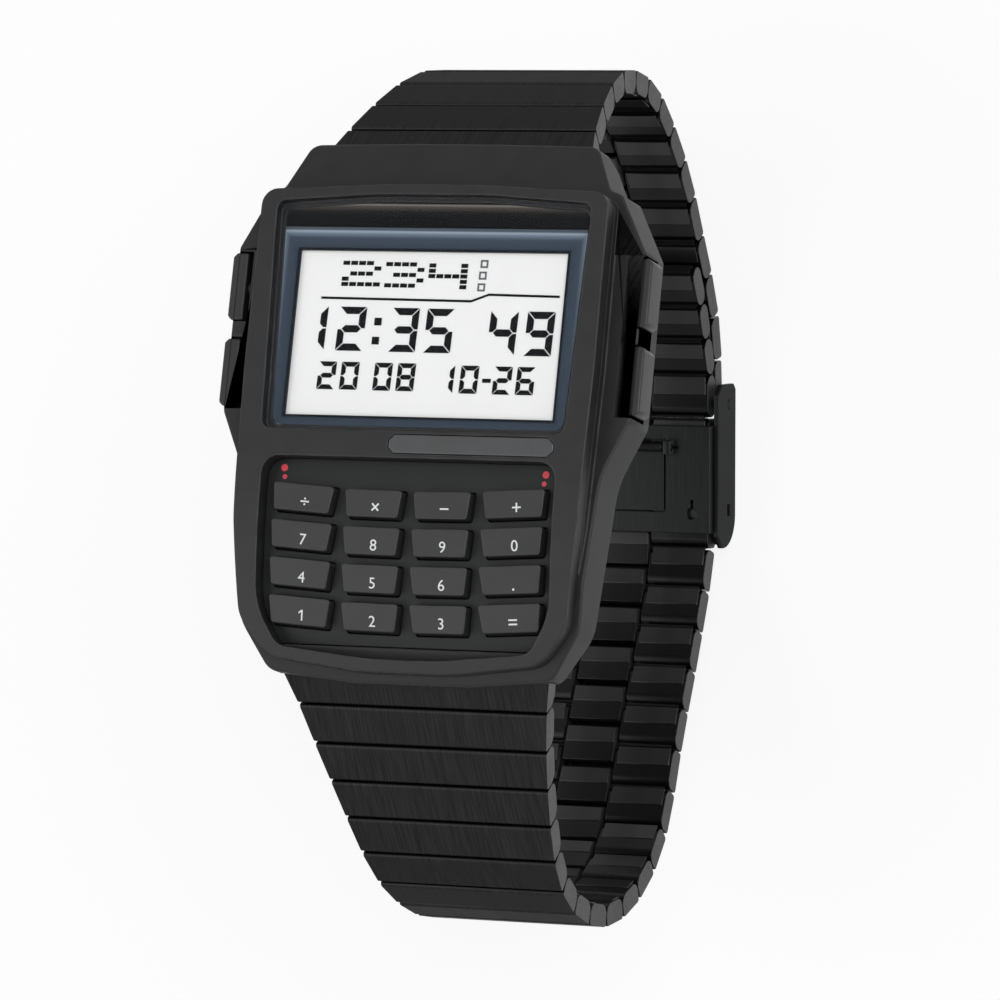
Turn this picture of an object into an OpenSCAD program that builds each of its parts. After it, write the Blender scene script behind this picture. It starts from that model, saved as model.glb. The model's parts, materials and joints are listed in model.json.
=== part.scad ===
// Digital calculator wristwatch on a closed folded-link bracelet, in millimetres.
// The watch stands on the flat outer face of its clasp: the origin is the middle of that face,
// +Y runs towards 12 o'clock, +X towards 3 o'clock and +Z up through the wrist opening.
// The head is drawn in its own dial frame (z = 0 on the rim) and then leaned by dial_tilt.

/* [Head] */
// Length of the rim, 12 to 6 o'clock
rim_l = 40; // [39.6:0.1:40.4]
// Width of the rim at its widest
rim_w = 31; // [30.8:0.1:31.6]
// Width of the case over the pusher guards
case_w = 36.2; // [35.8:0.1:37]
// Thickness of the rim moulding
rim_t = 1.4; // [1.3:0.05:1.45]
// Depth of the case from the rim to the screwed back
case_h = 6.6; // [6.6:0.05:6.9]
// Thickness of the screwed back
back_t = 1.4; // [1.2:0.1:2]
// Radius of the fall of the face over the keypad
face_r = 49; // [47:1:60]
// Lean of the dial against the clasp face, degrees
dial_tilt = 14; // [12:0.5:16]
// How far the hood reaches past the rim at 12 o'clock
hood_l = 4; // [3.8:0.1:4.3]

/* [Display] */
// Width of the crystal at its 12 o'clock edge
crystal_w = 27.9; // [27.5:0.1:28.2]
// Length of the crystal
crystal_l = 19.6; // [19.4:0.1:19.7]
// Thickness of the crystal
crystal_t = 0.9; // [0.7:0.05:0.95]
// Width of the window over the display
window_w = 23.8; // [23.4:0.1:24.6]
// Height of the window over the display
window_h = 13.8; // [13.6:0.1:14.2]
// Height of the large time digits
digit_h = 3.75; // [3.2:0.05:3.9]

/* [Keypad] */
// Distance between key rows
row_pitch = 3.05; // [2.95:0.05:3.1]
// Depth of a key, 12 to 6 o'clock
key_l = 2.25; // [2:0.05:2.3]
// Width of an inner key
key_w = 5.1; // [4.6:0.1:5.2]
// Extra width of an outer key
key_extra_w = 0.4; // [0:0.1:0.5]
// Height of a key above the keypad plate
key_h = 1; // [0.8:0.1:1.1]
// Travel of a key
key_travel = 0.5; // [0.3:0.05:0.5]
// Gap round a key in the keypad plate
key_gap = 0.12; // [0.08:0.02:0.16]

/* [Pushers] */
// Length of a side pusher along the case
pusher_l = 5.7; // [4.5:0.1:6]
// Height of a side pusher
pusher_h = 2.5; // [2.3:0.1:2.6]
// How far a pusher stands out of its guard
pusher_out = 0.6; // [0.5:0.05:0.8]
// Travel of a pusher
pusher_travel = 0.4; // [0.3:0.05:0.4]
// Radius of a pusher stem
stem_r = 0.6; // [0.5:0.05:0.6]

/* [Bracelet] */
// Width of the bracelet's end links at the case
strap_w_lug = 24; // [23.6:0.1:24.1]
// Width of the bracelet just past its end links
strap_w_first = 22.1; // [20:0.1:22.6]
// Width of the bracelet at the clasp
strap_w = 15.8; // [15.4:0.1:15.8]
// Thickness of a link
link_t = 1.9; // [1.8:0.05:1.9]
// Gap between two links
link_gap = 0.16; // [0.14:0.02:0.24]
// Width of the folded tab on each side of a link
tab_w = 5.3; // [4.8:0.1:5.5]
// Thickness of a link's outer plate
plate_t = 0.5; // [0.4:0.05:0.5]
// How far the bracelet's middle line reaches towards 12 o'clock
reach_12 = 32.6; // [32:0.1:33.4]
// How far the bracelet's middle line reaches towards 6 o'clock
reach_6 = 37.7; // [37:0.1:38.4]

/* [Clasp] */
// Thickness of the clasp cover's sheet
cover_t = 0.5; // [0.4:0.05:0.5]
// Length of the clasp cover
cover_l = 14.4; // [14:0.1:14.8]
// Height of the clasp cover's side walls
cover_h = 4.2; // [3.9:0.1:4.3]
// Thickness of the upper strap's last link
hook_t = 1.6; // [1.5:0.05:1.6]
// Radius of the cover pin
cover_pin_r = 0.45; // [0.35:0.05:0.45]
// Length of the lock plate
lock_l = 5.7; // [5:0.1:5.8]
// Width of the lock plate
lock_w = 8; // [6:0.2:8.4]

/* [Hidden] */
$fn = 48;

// Clearances
fit_gap = 0.05;
seat_gap = 0.1;
slide_gap = 0.15;
skin = 0.02;
big = 70;

// Colours
case_colour = "#2b2b2d";
rim_colour = "#3a3a3c";
mask_colour = "#434e5b";
steel_colour = "#303032";
spring_colour = "#9a9a9c";

// General helpers
function arc(c, r, a0, a1, n) = [for (i = [0:n])
    c + r * [cos(a0 + (a1 - a0) * i / n), sin(a0 + (a1 - a0) * i / n)]];
function unit(v) = v / norm(v);
// The corner b of an outline, between a and c, rounded with radius r
function corner(a, b, c, r, n = 6) =
    let (u = unit(a - b), v = unit(c - b), half = acos(max(-1, min(1, u * v))) / 2)
    let (m = b + unit(u + v) * r / sin(half), s = b + u * r / tan(half) - m, e = b + v * r / tan(half) - m)
    let (a0 = atan2(s[1], s[0]), turn = atan2(e[1], e[0]) - a0)
    let (sweep = turn > 180 ? turn - 360 : turn < -180 ? turn + 360 : turn)
    r < 0.01 || half > 89 ? [b] : arc(m, r, a0, a0 + sweep, n);
// Outline with rounded corners from rows of [x, y, radius]
function rounded(p) = [for (i = [0:len(p) - 1])
    let (k = len(p), a = p[(i + k - 1) % k], b = p[i], c = p[(i + 1) % k])
    each corner([a[0], a[1]], [b[0], b[1]], [c[0], c[1]], b[2])];
// Rows for the right half, completed by their mirror image
function mirrored(p) = concat(p, [for (i = [len(p) - 1:-1:0]) [-p[i][0], p[i][1], p[i][2]]]);
// Side-view outline in y and z, as wide as w along x
module side_shape(points, w) {
    rotate([90, 0, 90]) linear_extrude(w, center = true) polygon(points);
}
// Plan outline between two heights
module plan_shape(points, z0, z1) {
    translate([0, 0, z0]) linear_extrude(z1 - z0) polygon(points);
}
// Box from its low corner to its high corner
module box(a, b) {
    translate(a) cube(b - a);
}
module rod_x(r, l) {
    rotate([0, 90, 0]) cylinder(r = r, h = l, center = true);
}

// Curved face over the keypad, in the dial frame
half_l = rim_l / 2;
face_bend_y = -3;
face_end = half_l + 2.5;
face_steps = 14;
function face_z(y) = y >= face_bend_y ? 0 : sqrt(pow(face_r, 2) - pow(y - face_bend_y, 2)) - face_r;
function face_slope(y) = y >= face_bend_y ? 0 : asin((face_bend_y - y) / face_r);
function face_line(drop) = [for (i = [0:face_steps])
    let (y = face_bend_y - (face_end + face_bend_y) * i / face_steps) [y, face_z(y) - drop]];
// Side-view band between two depths under the face
function face_band(a, b) = let (lower = face_line(b)) concat([[big, -b], [big, -a]], face_line(a),
    [for (i = [face_steps:-1:0]) lower[i]]);
// Side-view region from a depth under the face down to the level z
function face_block(a, z) = concat([[big, z], [big, -a]], face_line(a), [[-face_end, z]]);

// Rim and case outlines in the dial frame
rim_half = rim_w / 2;
rim_bow = 0.5;
rim_outline = rounded(mirrored([[4, -half_l, 20], [rim_half - 3.4, -half_l + 1, 3], [rim_half - 1, -half_l + 4, 3],
    [rim_half - 0.3, -half_l + 12, 12], [rim_half, half_l - 15, 12], [rim_half - 0.1, half_l - rim_bow, 1.4],
    [4, half_l, 20]]));
case_half = case_w / 2;
guard_y1 = 15;
guard_y0 = 1.2;
guard_top = -2.3;
hood_y = half_l + hood_l;
hood_half = strap_w_lug / 2 + 0.75;
hood_z = -3.2;
foot_y = -half_l - 0.7;
case_outline = rounded(mirrored([[5, foot_y, 20], [rim_half - 2.9, foot_y + 0.7, 1.6], [rim_half - 0.4, -half_l + 4, 4],
    [rim_half + 0.5, -3.4, 8], [case_half, guard_y0, 1.5], [case_half, guard_y1, 0.8],
    [rim_half + 0.1, half_l - 0.2, 0.6], [rim_half - 1, half_l + 0.2, 0.6], [hood_half, hood_y, 1.2],
    [4, hood_y + 0.15, 0]]));

// Display recess, from the crystal down
crystal_y1 = half_l - 0.9;
crystal_y0 = crystal_y1 - crystal_l;
crystal_half = crystal_w / 2;
crystal_taper = 0.6;
// The crystal's outline, grown by g
function crystal_outline(g) = rounded(mirrored([[crystal_half - crystal_taper + g, crystal_y0 - g, 0.8],
    [crystal_half + g, crystal_y1 - 0.6 + g, 0.8], [5, crystal_y1 + g, 30]]));
crystal_ledge = 0.4;
crystal_top = -0.1;
mask_top = crystal_top - crystal_t;
mask_t = 0.3;
window_mid_y = 7.7;
lcd_top = mask_top - mask_t - fit_gap;
lcd_t = 1.1;
lcd_half = 13;
lcd_y0 = -0.3;
lcd_y1 = 17.2;
lcd_low = lcd_top - lcd_t;
segment_t = 0.04;
reflector_t = 0.15;
module_top = lcd_low - reflector_t - seat_gap;
module_floor = -5.3;
board_top = module_floor - fit_gap;
board_t = 0.6;

// Room for the works inside the case
cavity_half = 13.3;
cavity_y1 = crystal_y1 - 0.2;
well_top = module_top - 0.15;
well_half = 12.3;
well_y0 = -15.5;
well_y1 = 18.8;
well_corner = 5;
function well_outline(g) = rounded(mirrored([[well_half + g, well_y0 - g, well_corner + g],
    [well_half + g, well_y1 + g, well_corner + g]]));

// Keypad recess
keypad_y1 = crystal_y0 - 2.3;
keypad_y0 = -half_l + 1;
keypad_half = 13;
function keypad_outline(g) = rounded(mirrored([[3, keypad_y0 - g, 20], [keypad_half - 1.8 + g, keypad_y0 + 0.8 - g, 1.6],
    [keypad_half + g, -half_l + 5, 6], [keypad_half + g, keypad_y1 + g, 1.5]]));
plate_drop = rim_t + seat_gap;
keypad_plate_t = 0.7;
plate_y0 = -half_l + 2.2;
keypad_floor_y = plate_y0 + 0.6;
flange_t = 0.25;
flange_side = 0.3;
flange_corner_r = 0.6;
flange_front = 0.15;
flange_back = 0.25;
membrane_t = 0.3;

// Key layout: columns from 9 to 3 o'clock, rows from 12 to 6 o'clock
key_x = [-9.35, -3.05, 3.05, 9.35];
key_turn = [-3.5, -0.7, 0.7, 3.5];
key_lift = [0.3, 0, 0, 0.3];
first_row_y = -6.5;
key_draft = 0.3;
key_corner_r = 0.25;
function row_y(r) = first_row_y - r * row_pitch;
function key_half(c) = (key_w + (c == 0 || c == 3 ? key_extra_w : 0)) / 2;
// Plan outline of a key, grown by side at both sides, front towards 6 o'clock and back towards 12
function key_outline(c, side, front, back, r) = let (h = key_half(c))
    rounded([[h - key_draft + side, -key_l / 2 - front, r], [h + side, key_l / 2 + back, r],
        [-h - side, key_l / 2 + back, r], [-h + key_draft - side, -key_l / 2 - front, r]]);
// Side-view band that follows the face's slope at a key row, between two depths
function key_band(r, a, b) = let (y = row_y(r), k = tan(face_slope(y)), e = 4)
    [[-e, face_z(y) - k * e - b], [e, face_z(y) + k * e - b], [e, face_z(y) + k * e - a], [-e, face_z(y) - k * e - a]];

// Name plate on the rim between the display and the keypad
name_x0 = -1.9;
name_x1 = 12.6;
name_y0 = keypad_y1 + 0.4;
name_y1 = crystal_y0 - 0.35;
name_t = 0.3;
name_bevel = 0.5;
function name_outline(g) = [[name_x0 - g, name_y0 + name_bevel], [name_x0 + name_bevel, name_y0 - g],
    [name_x1 - name_bevel, name_y0 - g], [name_x1 + g, name_y0 + name_bevel], [name_x1 + g, name_y1 - name_bevel],
    [name_x1 - name_bevel, name_y1 + g], [name_x0 + name_bevel, name_y1 + g], [name_x0 - g, name_y1 - name_bevel]];

// Pushers
pusher_y = [11.75, 4.5];
pusher_z = -3.75;
pusher_face = case_half + pusher_out;
pusher_head_t = 1.4;
pusher_inner = pusher_face - pusher_head_t;
pusher_chamfer = 0.35;
pocket_x = pusher_inner - pusher_travel - seat_gap;
spring_seat_x = pocket_x - 1.4;
spring_seat_r = 1.15;
spring_ring_r = 0.9;
spring_wire_r = 0.13;
spring_pitch = 0.45;
spring_rings = 3;
stem_end = well_half - 0.5;
stem_ring_r = 0.95;
stem_ring_t = 0.3;
stem_ring_room = 1.4;

// Case back
back_half = 14.4;
back_y0 = -17.2;
back_y1 = 20.5;
function back_outline(g) = rounded(mirrored([[back_half + g, back_y0 - g, 3.2], [back_half + g, back_y1 + g, 3.2]]));
back_rim_t = 0.85;
back_step = 2.6;
groove_in = 0.2;
groove_w = 0.8;
groove_depth = 0.6;
gasket_gap = 0.06;
screw_at = [[13, 18.6], [13, -14.6], [-13, 18.6], [-13, -14.6]];
screw_r = 0.6;
screw_head_r = 1.1;
screw_head_t = 0.45;
screw_l = 1.9;
drive_l = 0.7;
drive_w = 0.12;
drive_depth = 0.22;

// Works
battery_at = [-5, 8.4];
battery_r = 5.8;
battery_t = 3.05;
battery_step = 0.3;
battery_z = -case_h + 0.2;
clip_t = 0.12;
clip_half = 2;
clip_leg = 0.4;
chip_at = [6.6, 9.2];
chip_w = 6;
chip_t = 0.9;
quartz_y = 4;
quartz_r = 0.55;
zebra_y = [0.35, 15.9];
zebra_w = 0.8;
zebra_half = 10.5;

// Spring bars that carry the bracelet, as [y, z] in the dial frame
lug_upper = [half_l + 2.5, -4.6];
lug_lower = [-half_l + 1.2, -6];
bar_r = 0.5;
bar_tip_r = 0.3;
bar_tip_l = 0.85;
lug_gap = 0.2;
lug_slot_half = strap_w_lug / 2 + slide_gap;
upper_slot_dir = -22;
lower_slot_dir = -138;

// The head's place on the bracelet
head_at = [4.8, 51.3];
function lean(p) = head_at + [p[0] * cos(dial_tilt) + p[1] * sin(dial_tilt),
    p[1] * cos(dial_tilt) - p[0] * sin(dial_tilt)];

// Bracelet middle lines as [y, z]
pin_at = [4.2, cover_t + slide_gap + hook_t / 2];
strap_z = pin_at[1] + hook_t / 2 + slide_gap + link_t / 2;
clasp_entry_y = -8.5;
clasp_pitch = 3.85;
upper_points = [lean(lug_upper), [reach_12 - 1.1, 31.4], [reach_12, 23.8], [reach_12 - 2, 16.4],
    [25.1, 10.3], [18.4, 6], [11.7, 2.5], pin_at];
lower_points = [lean(lug_lower), [-24.9, 44.9], [4 - reach_6, 38.6], [-reach_6, 29.8],
    [0.8 - reach_6, 21.4], [-32.4, 14.9], [-24, 10.7], [-16.2, 6.6], [clasp_entry_y, strap_z]];
upper_count = 15;
lower_count = 20;
clasp_count = 4;
tail_count = 3;
tail_gap = link_t + 0.4;
tail_start = 2.6;

// Smooth line through points, with a point before the first and one after the last
function spline_at(p, before, after, u) =
    let (i = min(floor(u), len(p) - 2), t = u - i)
    let (p0 = i > 0 ? p[i - 1] : before, p1 = p[i], p2 = p[i + 1], p3 = i < len(p) - 2 ? p[i + 2] : after)
    0.5 * (2 * p1 + (p2 - p0) * t + (2 * p0 - 5 * p1 + 4 * p2 - p3) * pow(t, 2)
        + (3 * p1 - p0 - 3 * p2 + p3) * pow(t, 3));
line_steps = 160;
function smooth_line(p, before, after) = [for (i = [0:line_steps])
    spline_at(p, before, after, (len(p) - 1) * i / line_steps)];
// Running length along a list of points, as rows of [length, row number]
function lengths(q, i = 0, s = 0) = i == len(q) - 1 ? [[s, i]] :
    concat([[s, i]], lengths(q, i + 1, s + norm(q[i + 1] - q[i])));
function point_at(q, u) = let (i = max(0, min(floor(u), len(q) - 2))) q[i] + (q[i + 1] - q[i]) * (u - i);
function even_points(q, n) = let (s = lengths(q), total = s[len(s) - 1][0])
    [for (k = [0:n]) point_at(q, lookup(total * k / n, s))];
upper_line = smooth_line(upper_points, 2 * upper_points[0] - upper_points[1] - [3.4, 3], pin_at - [6, 0]);
lower_line = smooth_line(lower_points, 2 * lower_points[0] - lower_points[1], [clasp_entry_y + 7, strap_z]);
upper_hinges = even_points(upper_line, upper_count);
// The tail runs inside the upper strap, a little more than one link away from it
upper_lengths = lengths(upper_line);
upper_total = upper_lengths[len(upper_lengths) - 1][0];
function inside_upper(s) = let (u = lookup(upper_total - s, upper_lengths))
    let (d = unit(point_at(upper_line, u + 1) - point_at(upper_line, u - 1)))
    point_at(upper_line, u) + tail_gap * [d[1], -d[0]];
lower_hinges = concat(even_points(lower_line, lower_count),
    [for (i = [1:clasp_count]) [clasp_entry_y + i * clasp_pitch, strap_z]],
    [for (i = [1:tail_count]) inside_upper(tail_start + i * clasp_pitch)]);

// Half width of the bracelet at hinge i, counted from the case
taper_links = 7;
taper_power = 1.6;
function strap_half(i) = i == 0 ? strap_w_lug / 2 :
    (strap_w + (strap_w_first - strap_w) * pow(max(0, 1 - (i - 1) / taper_links), taper_power)) / 2;

// Rounding of a link's edges on its outer face
edge_r = 0.3;

// Centre pieces that join the links
connector_t = 0.7;
connector_side = 0.25;
connector_end = 0.3;
pocket_end = 0.3;

// Outer half of a link's plain end, about the middle y of its round inner half, towards dir
module square_end(y, dir, t) {
    r = t / 2;
    translate([0, y, 0]) {
        box([-big / 2, min(0, dir * r), 0], [big / 2, max(0, dir * r), r - edge_r]);
        box([-big / 2, min(0, dir * (r - edge_r)), 0], [big / 2, max(0, dir * (r - edge_r)), r]);
        translate([0, dir * (r - edge_r), r - edge_r]) rod_x(edge_r, big);
    }
}
// One folded link from p to q as [y, z], with its outer face on the left of that direction.
// A loop end is round about the hinge itself and has a bore. Without square, both ends are round.
module link(p, q, half_p, half_q, t = link_t, loop_p = false, loop_q = false, bore = 0, square = true) {
    d = q - p;
    l = norm(d);
    inset = (link_gap + t) / 2;
    y_p = -l / 2 + (loop_p ? 0 : inset);
    y_q = l / 2 - (loop_q ? 0 : inset);
    tab = min(half_p, half_q) - tab_w;
    pocket_p = loop_p ? y_p + t / 2 + pocket_end : y_p - t;
    pocket_q = loop_q ? y_q - t / 2 - pocket_end : y_q + t;
    m = (p + q) / 2;
    translate([0, m[0], m[1]]) rotate([atan2(d[1], d[0]), 0, 0]) difference() {
        intersection() {
            union() {
                translate([-big / 2, y_p, -t / 2]) cube([big, y_q - y_p, t]);
                translate([0, y_p, 0]) rod_x(t / 2, big);
                translate([0, y_q, 0]) rod_x(t / 2, big);
                if (square && !loop_p) square_end(y_p, -1, t);
                if (square && !loop_q) square_end(y_q, 1, t);
            }
            plan_shape([[-half_p, -l / 2 - t], [half_p, -l / 2 - t], [half_p, -l / 2], [half_q, l / 2],
                [half_q, l / 2 + t], [-half_q, l / 2 + t], [-half_q, l / 2], [-half_p, -l / 2]], -t, t);
        }
        box([-tab, pocket_p, -t], [tab, pocket_q, t / 2 - plate_t]);
        if (loop_p) translate([0, y_p, 0]) rod_x(bore, big);
        if (loop_q) translate([0, y_q, 0]) rod_x(bore, big);
    }
}
// The centre piece across hinge h, set along the middle direction of its two links
module connector(before, h, after, half) {
    d = unit(unit(h - before) + unit(after - h));
    reach_back = norm(h - before) / 2 - connector_end;
    reach_on = norm(after - h) / 2 - connector_end;
    w = half - tab_w - connector_side;
    translate([0, h[0], h[1]]) rotate([atan2(d[1], d[0]), 0, 0])
        box([-w, -reach_back, -link_t / 2], [w, reach_on, -link_t / 2 + connector_t]);
}
// Links number first to last of the upper strap, with the centre pieces at their far ends
module upper_links(first, last) {
    h = upper_hinges;
    color(steel_colour) for (i = [first:last]) {
        link(h[i], h[i + 1], strap_half(i), strap_half(i + 1), i == upper_count - 1 ? hook_t : link_t,
            i == 0, i == upper_count - 1, (i == 0 ? bar_r : cover_pin_r) + fit_gap);
        if (i < upper_count - 1) connector(h[i], h[i + 1], h[i + 2], strap_half(i + 2));
    }
}
// The same for the lower strap, whose outer face is on the other side. Its links past the slider are round.
module lower_links(first, last) {
    h = lower_hinges;
    color(steel_colour) for (i = [first:last]) {
        link(h[i + 1], h[i], strap_half(i + 1), strap_half(i), link_t, false, i == 0, bar_r + fit_gap,
            i < lower_count + clasp_count - 1);
        if (i < len(h) - 2) connector(h[i + 2], h[i + 1], h[i], strap_half(i + 2));
    }
}

// Moves a piece of the head from the dial frame to its place
module place_head() {
    translate([0, head_at[0], head_at[1]]) rotate([-dial_tilt, 0, 0]) children();
}

// Room for the crystal, the mask and the panel
module display_room() {
    plan_shape(crystal_outline(fit_gap), mask_top, 1);
    plan_shape(crystal_outline(-crystal_ledge), mask_top - mask_t, 1);
    plan_shape(rounded(mirrored([[cavity_half, lcd_y0 - 0.3, 0.6], [cavity_half, cavity_y1, 0.6]])),
        well_top, mask_top - mask_t + skin);
}
// Room round a spring bar for the strap's end link, open outwards and downwards.
// The side is 1 at 12 o'clock and -1 at 6 o'clock.
module strap_slot(at, dir, side) {
    r = link_t / 2 + lug_gap;
    d = [cos(dir), sin(dir)];
    n = side * [-d[1], d[0]];
    translate([0, at[0], at[1]]) {
        rod_x(r, 2 * lug_slot_half);
        side_shape([[-side * r, 0], r * n, r * n + 9 * d, [side * 12, -12], [-side * r, -12]], 2 * lug_slot_half);
    }
}
module case_middle() {
    color(case_colour) place_head() difference() {
        intersection() {
            plan_shape(case_outline, -case_h, 0);
            side_shape(face_block(rim_t + fit_gap, -case_h), big);
        }
        // shoulders outside the rim
        difference() {
            box([-big, -big, guard_top], [big, big, 1]);
            plan_shape(rim_outline, guard_top - 1, 2);
        }
        // slope of the hood and the cut under the ears
        side_shape([[half_l + 0.3, guard_top], [hood_y + 1, hood_z - 0.2], [hood_y + 1, 1], [half_l + 0.3, 1]], big);
        side_shape([[hood_y - 2.6, -case_h - 1], [hood_y + 1, -4.4], [hood_y + 1, -case_h - 1]], big);
        display_room();
        plan_shape(well_outline(0), -case_h - 1, well_top + skin);
        // seat of the keypad plate and the room under it
        intersection() {
            plan_shape(keypad_outline(fit_gap), -case_h, 1);
            side_shape(face_band(0, plate_drop + keypad_plate_t), big);
            box([-big, plate_y0 - fit_gap, -case_h], [big, 0, 1]);
        }
        intersection() {
            plan_shape(keypad_outline(-0.2), module_floor - seat_gap, -1);
            box([-big, keypad_floor_y, module_floor - 1], [big, keypad_y1, 0]);
        }
        // pusher pockets, spring seats and stem holes
        for (s = [-1, 1], y = pusher_y) translate([0, y, pusher_z]) {
            box([s > 0 ? pocket_x : -big, -pusher_l / 2 - seat_gap, -pusher_h / 2 - seat_gap],
                [s > 0 ? big : -pocket_x, pusher_l / 2 + seat_gap, big]);
            translate([s * (spring_seat_x + 5), 0, 0]) rod_x(spring_seat_r, 10);
            translate([s * (well_half + 3), 0, 0]) rod_x(stem_r + fit_gap, 9);
        }
        // gasket groove and screw holes in the underside
        difference() {
            plan_shape(well_outline(groove_in + groove_w), -case_h - 1, -case_h + groove_depth);
            plan_shape(well_outline(groove_in), -case_h - 2, -case_h + groove_depth + 1);
        }
        for (p = screw_at) translate([p[0], p[1], -case_h - back_rim_t])
            cylinder(r = screw_r + fit_gap, h = screw_l + seat_gap);
        // slots and holes for the strap ends and their spring bars
        strap_slot(lug_upper, upper_slot_dir, 1);
        strap_slot(lug_lower, lower_slot_dir, -1);
        for (p = [lug_upper, lug_lower]) translate([0, p[0], p[1]])
            rod_x(bar_tip_r + fit_gap, 2 * (lug_slot_half + bar_tip_l));
    }
}

module bezel() {
    color(rim_colour) place_head() difference() {
        intersection() {
            plan_shape(rim_outline, -6, 0);
            side_shape(face_band(0, rim_t), big);
        }
        display_room();
        plan_shape(keypad_outline(0), -7, 1);
        plan_shape(name_outline(fit_gap), -name_t, 1);
    }
}

module crystal() {
    color([0.8, 0.85, 0.9, 0.35]) place_head() plan_shape(crystal_outline(0), mask_top + skin, crystal_top);
}

module display_mask() {
    color(mask_colour) place_head() difference() {
        plan_shape(crystal_outline(-crystal_ledge - fit_gap), mask_top - mask_t + skin, mask_top);
        translate([0, window_mid_y, mask_top - 1]) linear_extrude(2) square([window_w, window_h], center = true);
    }
}

module lcd_panel() {
    color("#e4e6e2") place_head() box([-lcd_half, lcd_y0, lcd_low], [lcd_half, lcd_y1, lcd_top]);
}

// Seven-segment characters: which bars are lit, as top, upper right, lower right, bottom,
// lower left, upper left and middle
lit = [[1, 1, 1, 1, 1, 1, 0], [0, 1, 1, 0, 0, 0, 0], [1, 1, 0, 1, 1, 0, 1], [1, 1, 1, 1, 0, 0, 1],
    [0, 1, 1, 0, 0, 1, 1], [1, 0, 1, 1, 0, 1, 1], [1, 0, 1, 1, 1, 1, 1], [1, 1, 1, 0, 0, 1, 0],
    [1, 1, 1, 1, 1, 1, 1], [1, 1, 1, 1, 0, 1, 1]];
bar_w = 0.16;
bar_end = 0.06;
// A character's lit bars, w wide and h high from its lower left corner
module digit(value, w, h) {
    t = h * bar_w;
    a = w - t;
    b = (h - t) / 2;
    place = [[0, 2 * b, 0], [a, b, 1], [a, 0, 1], [0, 0, 0], [0, 0, 1], [0, b, 1], [0, b, 0]];
    for (i = [0:6]) if (lit[value][i] == 1) translate([place[i][0] + t / 2, place[i][1] + t / 2]) {
        l = place[i][2] == 1 ? b : a;
        rotate(place[i][2] * 90) polygon([[bar_end, 0], [t / 2, -t / 2], [l - t / 2, -t / 2], [l - bar_end, 0],
            [l - t / 2, t / 2], [t / 2, t / 2]]);
    }
}
// Rows of [value, x, y, width, height] for the characters on the panel
small_h = 2.35;
panel_digits = [[1, -11.2, 6.15, 2.75, digit_h], [2, -8.05, 6.15, 2.75, digit_h], [3, -3.45, 6.25, 2.75, digit_h],
    [5, -0.2, 6.25, 2.75, digit_h], [4, 5.6, 6, 2.65, digit_h - 0.15], [9, 8.75, 6, 2.65, digit_h - 0.15],
    [2, -9.4, 2.85, 1.65, small_h], [0, -7.25, 2.85, 1.65, small_h], [0, -4.3, 2.85, 1.65, small_h],
    [8, -2.15, 2.85, 1.65, small_h], [1, 1.45, 2.7, 1.6, small_h], [0, 3.5, 2.7, 1.6, small_h],
    [2, 6.3, 2.7, 1.6, small_h], [6, 8.4, 2.7, 1.6, small_h]];
// Rows of [low x, low y, high x, high y] for the plain marks on the panel
panel_marks = [[-4.65, 8.35, -4.15, 8.85], [-4.7, 6.95, -4.2, 7.45], [5.4, 3.75, 6.05, 4.05],
    [-9.7, 10.5, 4, 10.62], [5.3, 10.9, 11.5, 11.02], [4.2, 13.25, 5.2, 14.05], [4.15, 12.3, 5.15, 13.1],
    [4.1, 11.35, 5.1, 12.15]];
module lcd_segments() {
    color("#17181a") place_head() translate([0, 0, lcd_top + 0.005]) linear_extrude(segment_t) {
        for (d = panel_digits) translate([d[1], d[2]]) digit(d[0], d[3], d[4]);
        for (m = panel_marks) translate([m[0], m[1]]) square([m[2] - m[0], m[3] - m[1]]);
    }
}

module lcd_reflector() {
    color("#c9ccc8") place_head() box([-lcd_half, lcd_y0 + 1.3, lcd_low - skin - reflector_t],
        [lcd_half, lcd_y1 - 2.2, lcd_low - skin]);
}

module zebra_connectors() {
    color("#b08a6a") place_head() for (y = zebra_y)
        box([-zebra_half, y - zebra_w / 2, board_top + skin], [zebra_half, y + zebra_w / 2, lcd_low - skin]);
}

module module_frame() {
    room = zebra_half + seat_gap;
    color("#d8d8d2") place_head() difference() {
        intersection() {
            plan_shape(well_outline(-seat_gap), module_floor, module_top);
            box([-big, lcd_y0 - 0.2, module_floor], [big, big, module_top]);
        }
        translate([battery_at[0], battery_at[1], -case_h]) cylinder(r = battery_r + seat_gap, h = big);
        for (y = zebra_y) box([-room, y - zebra_w / 2 - seat_gap, -case_h], [room, y + zebra_w / 2 + seat_gap, 0]);
        // pocket over the chip and the quartz can
        box([2.2, 2, module_floor - 1], [10.4, 13.4, module_floor + 1.2]);
        for (s = [-1, 1], y = pusher_y) box([s > 0 ? stem_end - 1 : -big, y - stem_ring_room, module_floor - 1],
            [s > 0 ? big : 1 - stem_end, y + stem_ring_room, 0]);
    }
}

module circuit_board() {
    color("#3f6b45") place_head() {
        difference() {
            plan_shape(well_outline(-slide_gap), board_top - board_t, board_top);
            translate([battery_at[0], battery_at[1], -case_h]) cylinder(r = battery_r + seat_gap, h = big);
        }
        translate([chip_at[0] - chip_w / 2, chip_at[1] - chip_w / 2, board_top - skin]) cube([chip_w, chip_w, chip_t]);
        translate([chip_at[0], quartz_y, board_top + quartz_r - 0.05]) rod_x(quartz_r, 5.6);
    }
}

module battery() {
    color("#c8c8c6") place_head() translate([battery_at[0], battery_at[1], battery_z]) {
        cylinder(r = battery_r, h = battery_t - battery_step);
        cylinder(r = battery_r - 1, h = battery_t);
    }
}

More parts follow.
